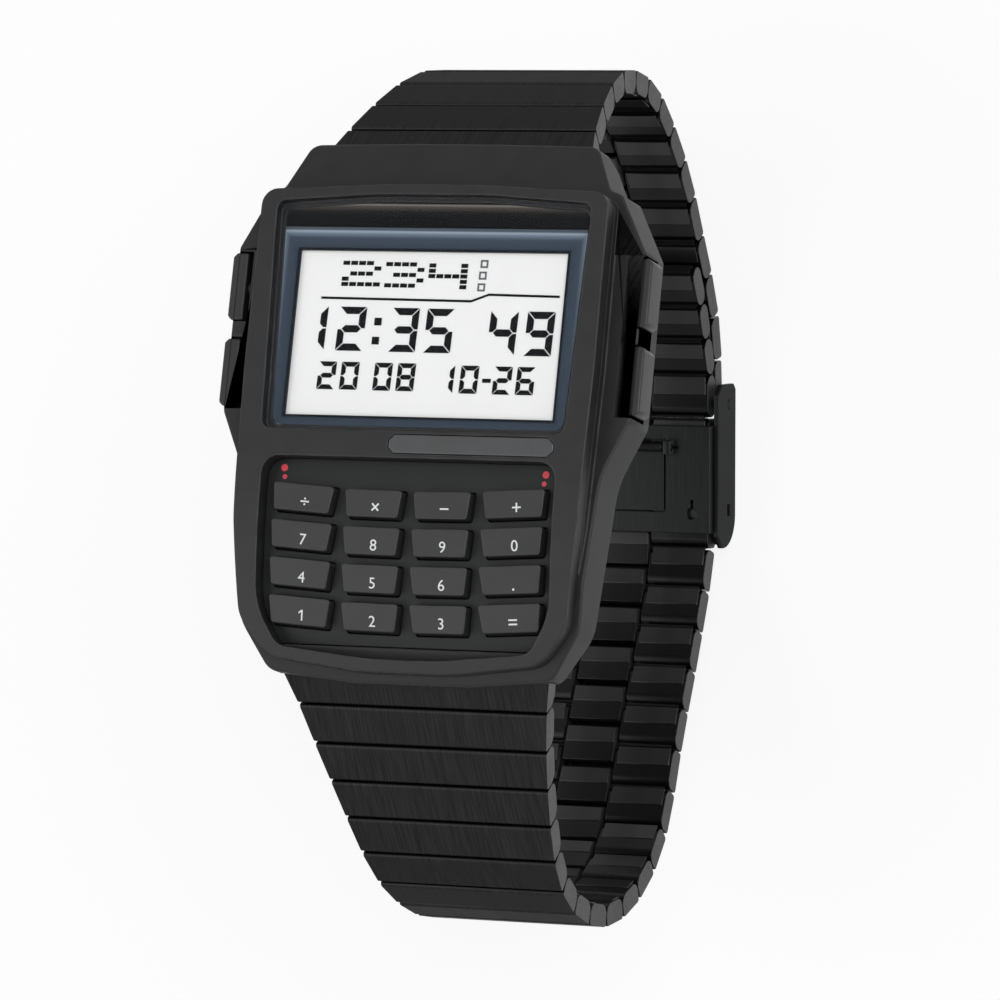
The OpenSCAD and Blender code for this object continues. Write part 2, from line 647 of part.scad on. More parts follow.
module battery_clip() {
    reach = battery_r + 0.9;
    color("#a8a9a8") place_head() translate([battery_at[0], battery_at[1], 0]) {
        box([-clip_half, -reach, battery_z - skin - clip_t], [clip_half, reach, battery_z - skin]);
        for (s = [-1, 1]) translate([0, s * (reach - clip_leg / 2), 0])
            box([-clip_half, -clip_leg / 2, battery_z - seat_gap], [clip_half, clip_leg / 2, board_top - board_t - skin]);
    }
}

module buzzer_disc() {
    color("#c9a64b") place_head() translate([6.3, 8.4, -case_h + skin]) cylinder(r = 4.6, h = 0.2);
}

// Moves a key's outline to its place on the keypad
module place_key(r, c) {
    translate([key_x[c], row_y(r) + key_lift[c], 0]) rotate(key_turn[c]) children();
}
module keypad_plate() {
    color("#26282b") place_head() difference() {
        intersection() {
            plan_shape(keypad_outline(0), -case_h, 1);
            side_shape(face_band(plate_drop, plate_drop + keypad_plate_t - skin), big);
            box([-big, plate_y0, -case_h], [big, 0, 1]);
        }
        for (r = [0:3], c = [0:3]) place_key(r, c)
            plan_shape(key_outline(c, key_gap, key_gap, key_gap, key_corner_r), -case_h, 1);
    }
}
// A key cap with its flange under the keypad plate
module key_cap(r, c) {
    foot = plate_drop + keypad_plate_t + seat_gap;
    color("#303236") place_head() {
        intersection() {
            place_key(r, c) plan_shape(key_outline(c, 0, 0, 0, key_corner_r), -case_h, 1);
            translate([0, row_y(r), 0]) side_shape(key_band(r, plate_drop - key_h, foot + flange_t), big);
        }
        intersection() {
            place_key(r, c) plan_shape(key_outline(c, flange_side, flange_front, flange_back, flange_corner_r), -case_h, 1);
            translate([0, row_y(r), 0]) side_shape(key_band(r, foot, foot + flange_t), big);
        }
    }
}

module keypad_membrane() {
    top = plate_drop + keypad_plate_t + seat_gap + flange_t + key_travel + 0.07;
    color("#8d8f8c") place_head() intersection() {
        plan_shape(keypad_outline(-0.35), -case_h, 1);
        side_shape(face_band(top, top + membrane_t), big);
        box([-well_half + 0.2, keypad_floor_y + 0.9, board_top + skin], [well_half - 0.2, keypad_y1 - 0.3, 1]);
    }
}

module name_plate() {
    color("#1d1e20") place_head() plan_shape(name_outline(0), -name_t + skin, 0);
}

module case_back() {
    color("#8f9092") place_head() difference() {
        union() {
            plan_shape(back_outline(0), -case_h - back_rim_t, -case_h - skin);
            plan_shape(back_outline(-back_step), -case_h - back_t, -case_h - skin);
        }
        for (p = screw_at) translate([p[0], p[1], -case_h - back_t]) {
            cylinder(r = screw_r + seat_gap, h = 4);
            cylinder(r = screw_head_r + seat_gap, h = back_t - back_rim_t + screw_head_t);
        }
    }
}

module back_gasket() {
    color("#202020") place_head() difference() {
        plan_shape(well_outline(groove_in + groove_w - gasket_gap), -case_h, -case_h + groove_depth - gasket_gap);
        plan_shape(well_outline(groove_in + gasket_gap), -case_h - 1, -case_h + groove_depth);
    }
}

module back_screws() {
    color("#b4b5b6") place_head() for (p = screw_at) translate([p[0], p[1], -case_h - back_rim_t]) difference() {
        union() {
            cylinder(r = screw_head_r, h = screw_head_t - skin);
            cylinder(r = screw_r, h = screw_l);
        }
        for (a = [0, 90]) rotate(a) box([-drive_l, -drive_w, -1], [drive_l, drive_w, drive_depth]);
    }
}

module spring_bars() {
    color(spring_colour) place_head() for (p = [lug_upper, lug_lower]) translate([0, p[0], p[1]]) {
        rod_x(bar_r, strap_w_lug - 0.4);
        rod_x(bar_tip_r, 2 * (lug_slot_half + bar_tip_l - seat_gap));
    }
}

module pusher_springs() {
    color(spring_colour) place_head() for (s = [-1, 1], y = pusher_y, i = [0:spring_rings - 1])
        translate([s * (spring_seat_x + 0.2 + i * spring_pitch), y, pusher_z]) rotate([0, 90, 0])
            rotate_extrude() translate([spring_ring_r, 0]) circle(r = spring_wire_r, $fn = 24);
}

// A pusher at y, on the 3 o'clock side with turn 0 and on the 9 o'clock side with turn 180
module pusher(turn, y) {
    low = pusher_l / 2;
    color(case_colour) place_head() translate([0, y, pusher_z]) rotate(turn) {
        plan_shape([[pusher_inner, -low], [pusher_face - pusher_chamfer, -low], [pusher_face, -low + pusher_chamfer],
            [pusher_face, low - pusher_chamfer], [pusher_face - pusher_chamfer, low], [pusher_inner, low]],
            -pusher_h / 2, pusher_h / 2);
        translate([(stem_end + pusher_inner + seat_gap) / 2, 0, 0]) rod_x(stem_r, pusher_inner - stem_end + seat_gap);
        translate([well_half - seat_gap - stem_ring_t / 2, 0, 0]) rod_x(stem_ring_r, stem_ring_t);
    }
}

// Clasp layout, heights from the face it stands on
cover_y0 = -8.4;
cover_y1 = cover_y0 + cover_l;
cover_curl = 2.8;
cover_half = strap_w / 2 + 1;
notch_y = pin_at[0] - 1.35;
slider_t = 0.4;
slider_wall = 0.3;
slider_half = cover_half - cover_t - seat_gap;
slider_y0 = -7;
slider_y1 = 2.4;
slider_z = strap_z + link_t / 2 + slide_gap;
slider_low = pin_at[1] + cover_pin_r + 0.12;
lip_t = 0.25;
lip_w = 1.8;
lock_pin_at = [slider_y1 - 1.9, slider_z + 0.65];
lock_barrel_r = 0.4;
lock_pin_r = 0.22;
ear_w = 0.7;
keyhole_at = [6.6, -5.3];

module clasp_cover() {
    c = [cover_y0 + cover_curl, cover_curl];
    curl = arc(c, cover_curl, 202, 270, 10);
    curl_in = arc(c, cover_curl - cover_t, 270, 202, 10);
    color(steel_colour) {
        difference() {
            union() {
                side_shape(concat(curl, [[notch_y, 0], [notch_y, cover_t]], curl_in), 2 * cover_half);
                for (s = [-1, 1]) translate([s * (cover_half - cover_t / 2), 0, 0])
                    side_shape(concat(arc(c, cover_curl, 184, 270, 12), [[cover_y1 - 0.5, 0], [cover_y1, 0.5],
                        [cover_y1, cover_h - 0.9], [cover_y1 - 0.9, cover_h], [cover_y0 + 1.1, cover_h],
                        [cover_y0, cover_h - 1.1]]), cover_t);
            }
            translate([0, pin_at[0], pin_at[1]]) rod_x(cover_pin_r + skin, big);
            // square holes in the side walls
            for (s = [-1, 1]) translate([s * cover_half, 0, 0]) box([-cover_t - 0.1, -5.6, 1.2], [cover_t + 0.1, -4.6, 2]);
        }
        translate([0, pin_at[0], pin_at[1]]) rod_x(cover_pin_r, 2 * cover_half + 0.1);
    }
}

module clasp_slider() {
    win = lock_w / 2 + slide_gap;
    color("#46474a") difference() {
        union() {
            box([-slider_half, slider_y0, slider_z], [slider_half, slider_y1, slider_z + slider_t]);
            for (s = [-1, 1]) {
                translate([s * (slider_half - slider_wall / 2), 0, 0])
                    box([-slider_wall / 2, slider_y0, slider_low], [slider_wall / 2, slider_y1, slider_z + slider_t]);
                for (y = [slider_y0 + 0.4, slider_y1 - 4.6])
                    translate([s * (slider_half - lip_w / 2), y, slider_low]) box([-lip_w / 2, 0, 0], [lip_w / 2, 1.8, lip_t]);
                translate([s * (win + ear_w / 2), lock_pin_at[0], slider_z])
                    box([-ear_w / 2, -0.6, 0.1], [ear_w / 2, 0.6, lock_pin_at[1] - slider_z + 0.5]);
            }
        }
        box([-win, lock_pin_at[0] - lock_l, slider_z - 1], [win, lock_pin_at[0] + 0.7, slider_z + 1]);
        translate([0, lock_pin_at[0], lock_pin_at[1]]) rod_x(lock_pin_r + fit_gap, 2 * win + 2 * ear_w + 1);
        // keyhole for the tool that lifts the lock plate
        translate([keyhole_at[0], keyhole_at[1], slider_z - 1]) cylinder(r = 0.5, h = 3);
        box([keyhole_at[0] - 0.15, keyhole_at[1], slider_z - 1], [keyhole_at[0] + 0.15, keyhole_at[1] + 1.2, slider_z + 2]);
    }
}

module lock_plate() {
    free_y = lock_pin_at[0] - lock_l + seat_gap;
    color("#55565a") {
        box([-lock_w / 2, free_y, slider_z], [lock_w / 2, lock_pin_at[0] + 0.1, slider_z + slider_t]);
        box([1 - lock_w / 2, free_y + 0.5, slider_z - 0.1], [lock_w / 2 - 1, free_y + 0.9, slider_z + 0.1]);
        translate([0, lock_pin_at[0], lock_pin_at[1]]) {
            rod_x(lock_barrel_r, lock_w);
            rod_x(lock_pin_r, lock_w + 2 * slide_gap + 2 * ear_w);
        }
    }
}

case_middle();
bezel();
crystal();
display_mask();
lcd_panel();
lcd_segments();
lcd_reflector();
zebra_connectors();
module_frame();
circuit_board();
battery();
battery_clip();
buzzer_disc();
keypad_plate();
keypad_membrane();
name_plate();
case_back();
back_gasket();
back_screws();
spring_bars();
pusher_springs();
pusher(180, pusher_y[0]);  // pusher_upper_left
pusher(180, pusher_y[1]);  // pusher_lower_left
pusher(0, pusher_y[0]);  // pusher_upper_right
pusher(0, pusher_y[1]);  // pusher_lower_right
key_cap(0, 0);  // key_divide
key_cap(0, 1);  // key_multiply
key_cap(0, 2);  // key_minus
key_cap(0, 3);  // key_plus
key_cap(1, 0);  // key_7
key_cap(1, 1);  // key_8
key_cap(1, 2);  // key_9
key_cap(1, 3);  // key_0
key_cap(2, 0);  // key_4
key_cap(2, 1);  // key_5
key_cap(2, 2);  // key_6
key_cap(2, 3);  // key_point
key_cap(3, 0);  // key_1
key_cap(3, 1);  // key_2
key_cap(3, 2);  // key_3
key_cap(3, 3);  // key_equals
upper_links(0, 2);  // upper_strap_1
upper_links(3, 4);  // upper_strap_2
upper_links(5, 6);  // upper_strap_3
upper_links(7, 8);  // upper_strap_4
upper_links(9, 10);  // upper_strap_5
upper_links(11, 12);  // upper_strap_6
upper_links(13, 14);  // upper_strap_7
lower_links(0, 4);  // lower_strap_1
lower_links(5, 6);  // lower_strap_2
lower_links(7, 8);  // lower_strap_3
lower_links(9, 10);  // lower_strap_4
lower_links(11, 12);  // lower_strap_5
lower_links(13, 14);  // lower_strap_6
lower_links(15, 19);  // lower_strap_7
lower_links(20, 23);  // lower_strap_8
lower_links(24, 26);  // strap_tail
clasp_cover();
clasp_slider();
lock_plate();
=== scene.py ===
import json
import math
import bmesh
import bpy
from mathutils import Matrix, Vector


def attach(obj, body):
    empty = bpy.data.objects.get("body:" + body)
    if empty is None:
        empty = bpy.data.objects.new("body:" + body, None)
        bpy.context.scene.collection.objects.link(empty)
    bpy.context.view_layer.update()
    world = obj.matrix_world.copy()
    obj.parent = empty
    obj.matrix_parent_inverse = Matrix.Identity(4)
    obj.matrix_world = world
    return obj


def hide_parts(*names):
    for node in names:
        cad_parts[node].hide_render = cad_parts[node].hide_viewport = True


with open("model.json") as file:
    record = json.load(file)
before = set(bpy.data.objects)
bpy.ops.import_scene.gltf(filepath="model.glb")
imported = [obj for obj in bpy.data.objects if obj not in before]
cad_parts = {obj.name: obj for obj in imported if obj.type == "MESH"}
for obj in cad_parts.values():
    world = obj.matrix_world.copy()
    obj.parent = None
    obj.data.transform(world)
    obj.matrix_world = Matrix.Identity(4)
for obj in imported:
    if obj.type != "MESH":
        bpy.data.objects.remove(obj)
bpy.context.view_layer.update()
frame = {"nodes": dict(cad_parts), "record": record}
nodes = frame["nodes"]
bodies = frame["record"]["behaviour"]["bodies"]
bodyOf = {node: body for body, members in bodies.items() for node in members}
mm = 0.001
print("frame loaded")

# The dial's own frame, as the watch head was drawn: x to 3 o'clock, y to 12 o'clock, z out of the glass
dial = {
    "middle": (0, 4.8 * mm, 51.3 * mm),
    "tilt": math.radians(14),
    "faceRadius": 49 * mm,      # fall of the face over the keypad
    "faceBend": -3 * mm,        # where the fall starts
}
dialPlace = Matrix.Translation(dial["middle"]) @ Matrix.Rotation(-dial["tilt"], 4, "X")


def faceHeight(y):
    if y >= dial["faceBend"]:
        return 0.0
    return math.sqrt(dial["faceRadius"] ** 2 - (y - dial["faceBend"]) ** 2) - dial["faceRadius"]


def faceSlope(y):
    if y >= dial["faceBend"]:
        return 0.0
    return math.asin((dial["faceBend"] - y) / dial["faceRadius"])


# Colours and shader helpers

def rgb(text):
    parts = [int(text[i:i + 2], 16) / 255 for i in (1, 3, 5)]
    linear = [c / 12.92 if c <= 0.04045 else ((c + 0.055) / 1.055) ** 2.4 for c in parts]
    return (*linear, 1)


def addNode(tree, kind, place=(0, 0), **settings):
    node = tree.nodes.new(kind)
    node.location = place
    for name, value in settings.items():
        setattr(node, name, value)
    return node


def addRange(tree, place, low, high):
    node = addNode(tree, "ShaderNodeMapRange", place)
    node.inputs["From Min"].default_value = low
    node.inputs["From Max"].default_value = high
    return node


def addRamp(tree, place, stops):
    ramp = addNode(tree, "ShaderNodeValToRGB", place)
    first, last = ramp.color_ramp.elements
    first.position, first.color = stops[0][0], rgb(stops[0][1])
    last.position, last.color = stops[-1][0], rgb(stops[-1][1])
    for at, colour in stops[1:-1]:
        ramp.color_ramp.elements.new(at).color = rgb(colour)
    return ramp


def newGroup(name, inputs, outputs):
    group = bpy.data.node_groups.new(name, "ShaderNodeTree")
    for label, kind, value in inputs:
        socket = group.interface.new_socket(name=label, in_out="INPUT", socket_type=kind)
        if value is not None:
            socket.default_value = value
    for label, kind in outputs:
        group.interface.new_socket(name=label, in_out="OUTPUT", socket_type=kind)
    start = addNode(group, "NodeGroupInput", (-900, 0))
    end = addNode(group, "NodeGroupOutput", (600, 0))
    return group, start, end


def newMaterial(name):
    material = bpy.data.materials.new(name)
    material.use_nodes = True
    tree = material.node_tree
    return material, tree, tree.nodes["Principled BSDF"]


# Grain: two sizes of noise, for moulded plastic and brushed metal
grainLook = {"detail": 3, "patchScale": 0.06}       # scale of the patches as a share of the grain's


def makeGrainGroup():
    group, start, end = newGroup("surfaceGrain",
        [("Size", "NodeSocketFloat", 4000.0), ("Stretch", "NodeSocketVector", (1, 1, 1))],
        [("Height", "NodeSocketFloat"), ("Patches", "NodeSocketFloat")])
    coord = addNode(group, "ShaderNodeTexCoord", (-900, 300))
    stretch = addNode(group, "ShaderNodeVectorMath", (-700, 200), operation="MULTIPLY")
    fine = addNode(group, "ShaderNodeTexNoise", (-450, 200))
    fine.inputs["Detail"].default_value = grainLook["detail"]
    coarse = addNode(group, "ShaderNodeTexNoise", (-450, -100))
    coarse.inputs["Detail"].default_value = grainLook["detail"]
    shrink = addNode(group, "ShaderNodeMath", (-650, -100), operation="MULTIPLY")
    shrink.inputs[1].default_value = grainLook["patchScale"]
    link = group.links.new
    link(coord.outputs["Object"], stretch.inputs[0])
    link(start.outputs["Stretch"], stretch.inputs[1])
    link(stretch.outputs[0], fine.inputs["Vector"])
    link(stretch.outputs[0], coarse.inputs["Vector"])
    link(start.outputs["Size"], fine.inputs["Scale"])
    link(start.outputs["Size"], shrink.inputs[0])
    link(shrink.outputs[0], coarse.inputs["Scale"])
    link(fine.outputs[0], end.inputs["Height"])
    link(coarse.outputs[0], end.inputs["Patches"])
    return group


# Rubbed edges with a painted highlight: lighter where the rounded normal leaves the face's own, broken up by
# noise; partly edge wear, partly a painted highlight along every edge
wearAndGlintLook = {"turnStart": 0.995, "turnFull": 0.8, "spotScale": 600, "spotDetail": 2, "spots": (0.3, 0.6)}


def makeWearAndGlintGroup():
    group, start, end = newGroup("rubbedAndGlintEdges",
        [("Rounded", "NodeSocketVector", None), ("Amount", "NodeSocketFloat", 0.5)],
        [("Mask", "NodeSocketFloat")])
    shape = addNode(group, "ShaderNodeNewGeometry", (-900, 200))
    same = addNode(group, "ShaderNodeVectorMath", (-650, 200), operation="DOT_PRODUCT")
    turned = addRange(group, (-400, 200), wearAndGlintLook["turnStart"], wearAndGlintLook["turnFull"])
    coord = addNode(group, "ShaderNodeTexCoord", (-900, -200))
    noise = addNode(group, "ShaderNodeTexNoise", (-650, -200))
    noise.inputs["Scale"].default_value = wearAndGlintLook["spotScale"]
    noise.inputs["Detail"].default_value = wearAndGlintLook["spotDetail"]
    spots = addRange(group, (-400, -200), *wearAndGlintLook["spots"])
    both = addNode(group, "ShaderNodeMath", (-100, 0), operation="MULTIPLY")
    scaled = addNode(group, "ShaderNodeMath", (150, 0), operation="MULTIPLY")
    link = group.links.new
    link(start.outputs["Rounded"], same.inputs[0])
    link(shape.outputs["Normal"], same.inputs[1])
    link(same.outputs["Value"], turned.inputs["Value"])
    link(coord.outputs["Object"], noise.inputs["Vector"])
    link(noise.outputs[0], spots.inputs["Value"])
    link(turned.outputs[0], both.inputs[0])
    link(spots.outputs[0], both.inputs[1])
    link(both.outputs[0], scaled.inputs[0])
    link(start.outputs["Amount"], scaled.inputs[1])
    link(scaled.outputs[0], end.inputs["Mask"])
    return group


grainGroup = makeGrainGroup()
wearAndGlintGroup = makeWearAndGlintGroup()

# What a finish has unless its own row says otherwise
plainFinish = {
    "grain": 5000, "stretch": (1, 1, 1),            # fineness of the grain, and its lines
    "tones": "Patches", "toneRange": (0.3, 0.7),    # which noise mixes the two colours
    "bump": 0.15, "depth": 0.02,                    # depth in mm
    "soft": 0, "edgeSamples": 6,                    # shading radius of the edges in mm
    "rubAndGlint": 0,                                       # how far the edges are lightened to rubAndGlintColour: edge wear with a painted highlight
    "metal": 0, "shine": 0.5,
    "edgeTint": 1,                                  # less glare at a low angle
    "coat": 0, "coatRough": 0.1,
}


def makeFinish(name, ownLook):
    look = {**plainFinish, **ownLook}
    material, tree, shader = newMaterial(name)
    link = tree.links.new
    grain = addNode(tree, "ShaderNodeGroup", (-900, 0), node_tree=grainGroup)
    grain.inputs["Size"].default_value = look["grain"]
    grain.inputs["Stretch"].default_value = look["stretch"]
    tone = addNode(tree, "ShaderNodeMix", (-500, 300), data_type="RGBA")
    tone.inputs["A"].default_value = rgb(look["colour"])
    tone.inputs["B"].default_value = rgb(look["second"])
    spread = addRange(tree, (-700, 300), *look["toneRange"])
    link(grain.outputs[look["tones"]], spread.inputs["Value"])
    link(spread.outputs[0], tone.inputs["Factor"])
    colour = tone.outputs["Result"]
    edge = None
    if look["soft"] > 0:
        edge = addNode(tree, "ShaderNodeBevel", (-900, -400), samples=look["edgeSamples"])
        edge.inputs["Radius"].default_value = look["soft"] * mm
    # edges lightened: edge wear with a painted highlight
    if edge and look["rubAndGlint"] > 0:
        wearAndGlint = addNode(tree, "ShaderNodeGroup", (-700, 600), node_tree=wearAndGlintGroup)
        wearAndGlint.inputs["Amount"].default_value = look["rubAndGlint"]
        rubbedAndGlint = addNode(tree, "ShaderNodeMix", (-250, 400), data_type="RGBA")
        rubbedAndGlint.inputs["B"].default_value = rgb(look["rubAndGlintColour"])
        link(edge.outputs[0], wearAndGlint.inputs["Rounded"])
        link(wearAndGlint.outputs[0], rubbedAndGlint.inputs["Factor"])
        link(colour, rubbedAndGlint.inputs["A"])
        colour = rubbedAndGlint.outputs["Result"]
    link(colour, shader.inputs["Base Color"])
    rough = addNode(tree, "ShaderNodeMapRange", (-400, 0))
    rough.inputs["To Min"].default_value = look["rough"][0]
    rough.inputs["To Max"].default_value = look["rough"][1]
    link(grain.outputs["Patches"], rough.inputs["Value"])
    link(rough.outputs[0], shader.inputs["Roughness"])
    shader.inputs["Metallic"].default_value = look["metal"]
    shader.inputs["Specular IOR Level"].default_value = look["shine"]
    shader.inputs["Specular Tint"].default_value = (*[look["edgeTint"]] * 3, 1)
    if look["coat"] > 0:
        shader.inputs["Coat Weight"].default_value = look["coat"]
        shader.inputs["Coat Roughness"].default_value = look["coatRough"]
    bump = addNode(tree, "ShaderNodeBump", (-200, -300))
    bump.inputs["Strength"].default_value = look["bump"]
    bump.inputs["Distance"].default_value = look["depth"] * mm
    link(grain.outputs["Height"], bump.inputs["Height"])
    if edge:
        link(edge.outputs[0], bump.inputs["Normal"])
    link(bump.outputs[0], shader.inputs["Normal"])
    return material


alongStrap = (1, 0.03, 0.03)    # brush lines vary across the bracelet and run along it
finishes = {
    "caseBlack": {"colour": "#171718", "second": "#1b1b1c", "rough": (0.42, 0.52), "shine": 0.22,
        "grain": 9000, "bump": 0.12, "soft": 0.25, "rubAndGlint": 0.5, "rubAndGlintColour": "#505052"},
    "rimBlack": {"colour": "#19191a", "second": "#1d1d1e", "rough": (0.38, 0.46), "shine": 0.24,
        "grain": 9000, "bump": 0.1, "soft": 0.22, "rubAndGlint": 0.4, "rubAndGlintColour": "#58585a"},
    "padBlack": {"colour": "#151617", "second": "#18191a", "rough": (0.45, 0.55), "shine": 0.2,
        "grain": 7000, "soft": 0.1, "rubAndGlint": 0.15, "rubAndGlintColour": "#343537"},
    "keyBlack": {"colour": "#1d1d1e", "second": "#232324", "rough": (0.38, 0.5), "shine": 0.3,
        "bump": 0.25, "depth": 0.03, "soft": 0.12, "rubAndGlint": 0.7, "rubAndGlintColour": "#5a5a5c"},
    "pusherBlack": {"colour": "#1b1b1c", "second": "#1f1f20", "rough": (0.32, 0.42), "shine": 0.3,
        "grain": 6000, "bump": 0.1, "soft": 0.2, "rubAndGlint": 0.5, "rubAndGlintColour": "#58585a"},
    "linkOuter": {"colour": "#2d2d2d", "second": "#1e1e1e", "tones": "Height", "rough": (0.36, 0.48),
        "metal": 0.75, "edgeTint": 0.15, "grain": 9000, "stretch": alongStrap, "bump": 0.3, "depth": 0.01,
        "soft": 0.08, "rubAndGlint": 0.35, "rubAndGlintColour": "#424242"},
    "linkSide": {"colour": "#3e3e40", "second": "#181819", "tones": "Height", "rough": (0.4, 0.55),
        "metal": 0.6, "grain": 5200, "bump": 0.35},
    "linkInner": {"colour": "#1c1d1c", "second": "#141514", "rough": (0.2, 0.3), "metal": 0.85,
        "stretch": alongStrap, "bump": 0.08, "depth": 0.01, "soft": 0.08, "rubAndGlint": 0.2, "rubAndGlintColour": "#484848"},
    # folded sheet: the inner face's steel made lighter, a painted sheen
    "linkFoldSheen": {"colour": "#333433", "second": "#272827", "rough": (0.24, 0.34), "metal": 0.8,
        "stretch": alongStrap, "bump": 0.08, "depth": 0.01, "soft": 0.06, "rubAndGlint": 0.3, "rubAndGlintColour": "#606060"},
    # near-black plates in the gaps between links: painted shade
    "linkGapShade": {"colour": "#0a0a0a", "second": "#0e0e0e", "rough": (0.6, 0.7), "shine": 0.1},
    "claspPlate": {"colour": "#232424", "second": "#1b1c1c", "tones": "Height", "rough": (0.36, 0.48),
        "metal": 0.75, "edgeTint": 0.45, "grain": 7000, "stretch": alongStrap, "bump": 0.2, "depth": 0.01,
        "soft": 0.08, "rubAndGlint": 0.3, "rubAndGlintColour": "#505052"},
    "plateGloss": {"colour": "#28292a", "second": "#2d2e30", "rough": (0.3, 0.38), "coat": 0.2,
        "grain": 6000, "bump": 0.03, "soft": 0.12, "rubAndGlint": 0.6, "rubAndGlintColour": "#5a5c5e"},
    "backSteel": {"colour": "#8f9092", "second": "#7b7c7e", "tones": "Height", "rough": (0.25, 0.38),
        "metal": 1, "grain": 7000, "stretch": alongStrap, "bump": 0.2, "depth": 0.01, "soft": 0.1,
        "rubAndGlint": 0.3, "rubAndGlintColour": "#c0c0c2"},
    "screwSteel": {"colour": "#b4b5b6", "second": "#a2a3a4", "rough": (0.2, 0.3), "metal": 1, "grain": 7000,
        "soft": 0.06},
    "springSteel": {"colour": "#9a9a9c", "second": "#88888a", "rough": (0.25, 0.35), "metal": 1,
        "grain": 8000},
    "cellSteel": {"colour": "#c2c2c0", "second": "#b4b4b2", "rough": (0.2, 0.32), "metal": 1, "soft": 0.1},
    "brass": {"colour": "#c9a64b", "second": "#b8953f", "rough": (0.25, 0.35), "metal": 1},
    "boardGreen": {"colour": "#2f5a37", "second": "#2a5031", "rough": (0.35, 0.45), "grain": 2500,
        "bump": 0.1},
    "frameWhite": {"colour": "#d2d2cc", "second": "#c9c9c2", "rough": (0.45, 0.55), "bump": 0.1},
    "foil": {"colour": "#c9ccc8", "second": "#bfc2be", "rough": (0.25, 0.35), "metal": 0.9, "grain": 3000},
    "elastomer": {"colour": "#b08a6a", "second": "#a27d5f", "rough": (0.55, 0.65), "grain": 6000,
        "bump": 0.2},
    "rubber": {"colour": "#1b1b1b", "second": "#222222", "rough": (0.6, 0.7), "grain": 6000, "bump": 0.2},
    "membrane": {"colour": "#8d8f8c", "second": "#858784", "rough": (0.55, 0.65)},
    "panelPale": {"colour": "#f2f3f2", "second": "#eff0ef", "rough": (0.5, 0.56), "grain": 3000,
        "bump": 0.0, "shine": 0.2},
    "inkBlack": {"colour": "#060607", "second": "#0a0a0b", "rough": (0.5, 0.6), "bump": 0.0, "shine": 0.05},
    "inkGrey": {"colour": "#5e6163", "second": "#646769", "rough": (0.5, 0.6), "bump": 0.0, "shine": 0.2},
    "labelPrint": {"colour": "#c4c6c6", "second": "#b6b8b8", "rough": (0.5, 0.6), "grain": 6000,
        "bump": 0.05},
    "redPrint": {"colour": "#b82f3c", "second": "#a82833", "rough": (0.4, 0.5), "grain": 6000, "bump": 0.05},
}
finish = {name: makeFinish(name, look) for name, look in finishes.items()}

crystalLook = {"tint": "#20262c", "cover": 0.07, "rough": 0.03, "coat": 0.2, "soft": 0.2 * mm}


def makeCrystalGlass():
    material, tree, shader = newMaterial("crystalGlass")
    shader.inputs["Base Color"].default_value = rgb(crystalLook["tint"])
    shader.inputs["Roughness"].default_value = crystalLook["rough"]
    shader.inputs["Alpha"].default_value = crystalLook["cover"]
    shader.inputs["Coat Weight"].default_value = crystalLook["coat"]
    edge = addNode(tree, "ShaderNodeBevel", (-400, -300))
    edge.inputs["Radius"].default_value = crystalLook["soft"]
    tree.links.new(edge.outputs[0], shader.inputs["Normal"])
    return material


# Printed frame round the panel: blue grey, with a dark print line by the window darkened further by painted
# shadow and a painted highlight lightening it towards its rim, and a glossy black band at 12 o'clock whose
# upper part carries a painted reflection
maskLook = {
    "halfWidth": 11.9 * mm, "halfHeight": 6.9 * mm, "middleY": 7.7 * mm,    # the window that it leaves open
    "reach": 1.75 * mm,                                                     # width of the border
    # from the window outwards: dark print line with painted shadow, blue grey, then a painted highlight
    # towards the rim
    "borderWithPaintedLight": [(0.0, "#0c1117"), (0.1, "#10151b"), (0.15, "#333d48"), (0.6, "#3d4856"), (0.8, "#687685"),
        (0.92, "#94a0ac"), (1.0, "#4a545f")],
    "bandStart": 16.55 * mm, "bandEnd": 18.6 * mm,
    # upwards: black, then a painted reflection lightening towards the band's top edge
    "band": [(0.0, "#050506"), (0.45, "#070708"), (0.66, "#1a1917"), (0.86, "#474340"), (0.94, "#77736e"),
        (1.0, "#0a0a0a")],
    "rough": 0.2,
    "shine": 0.05,
}


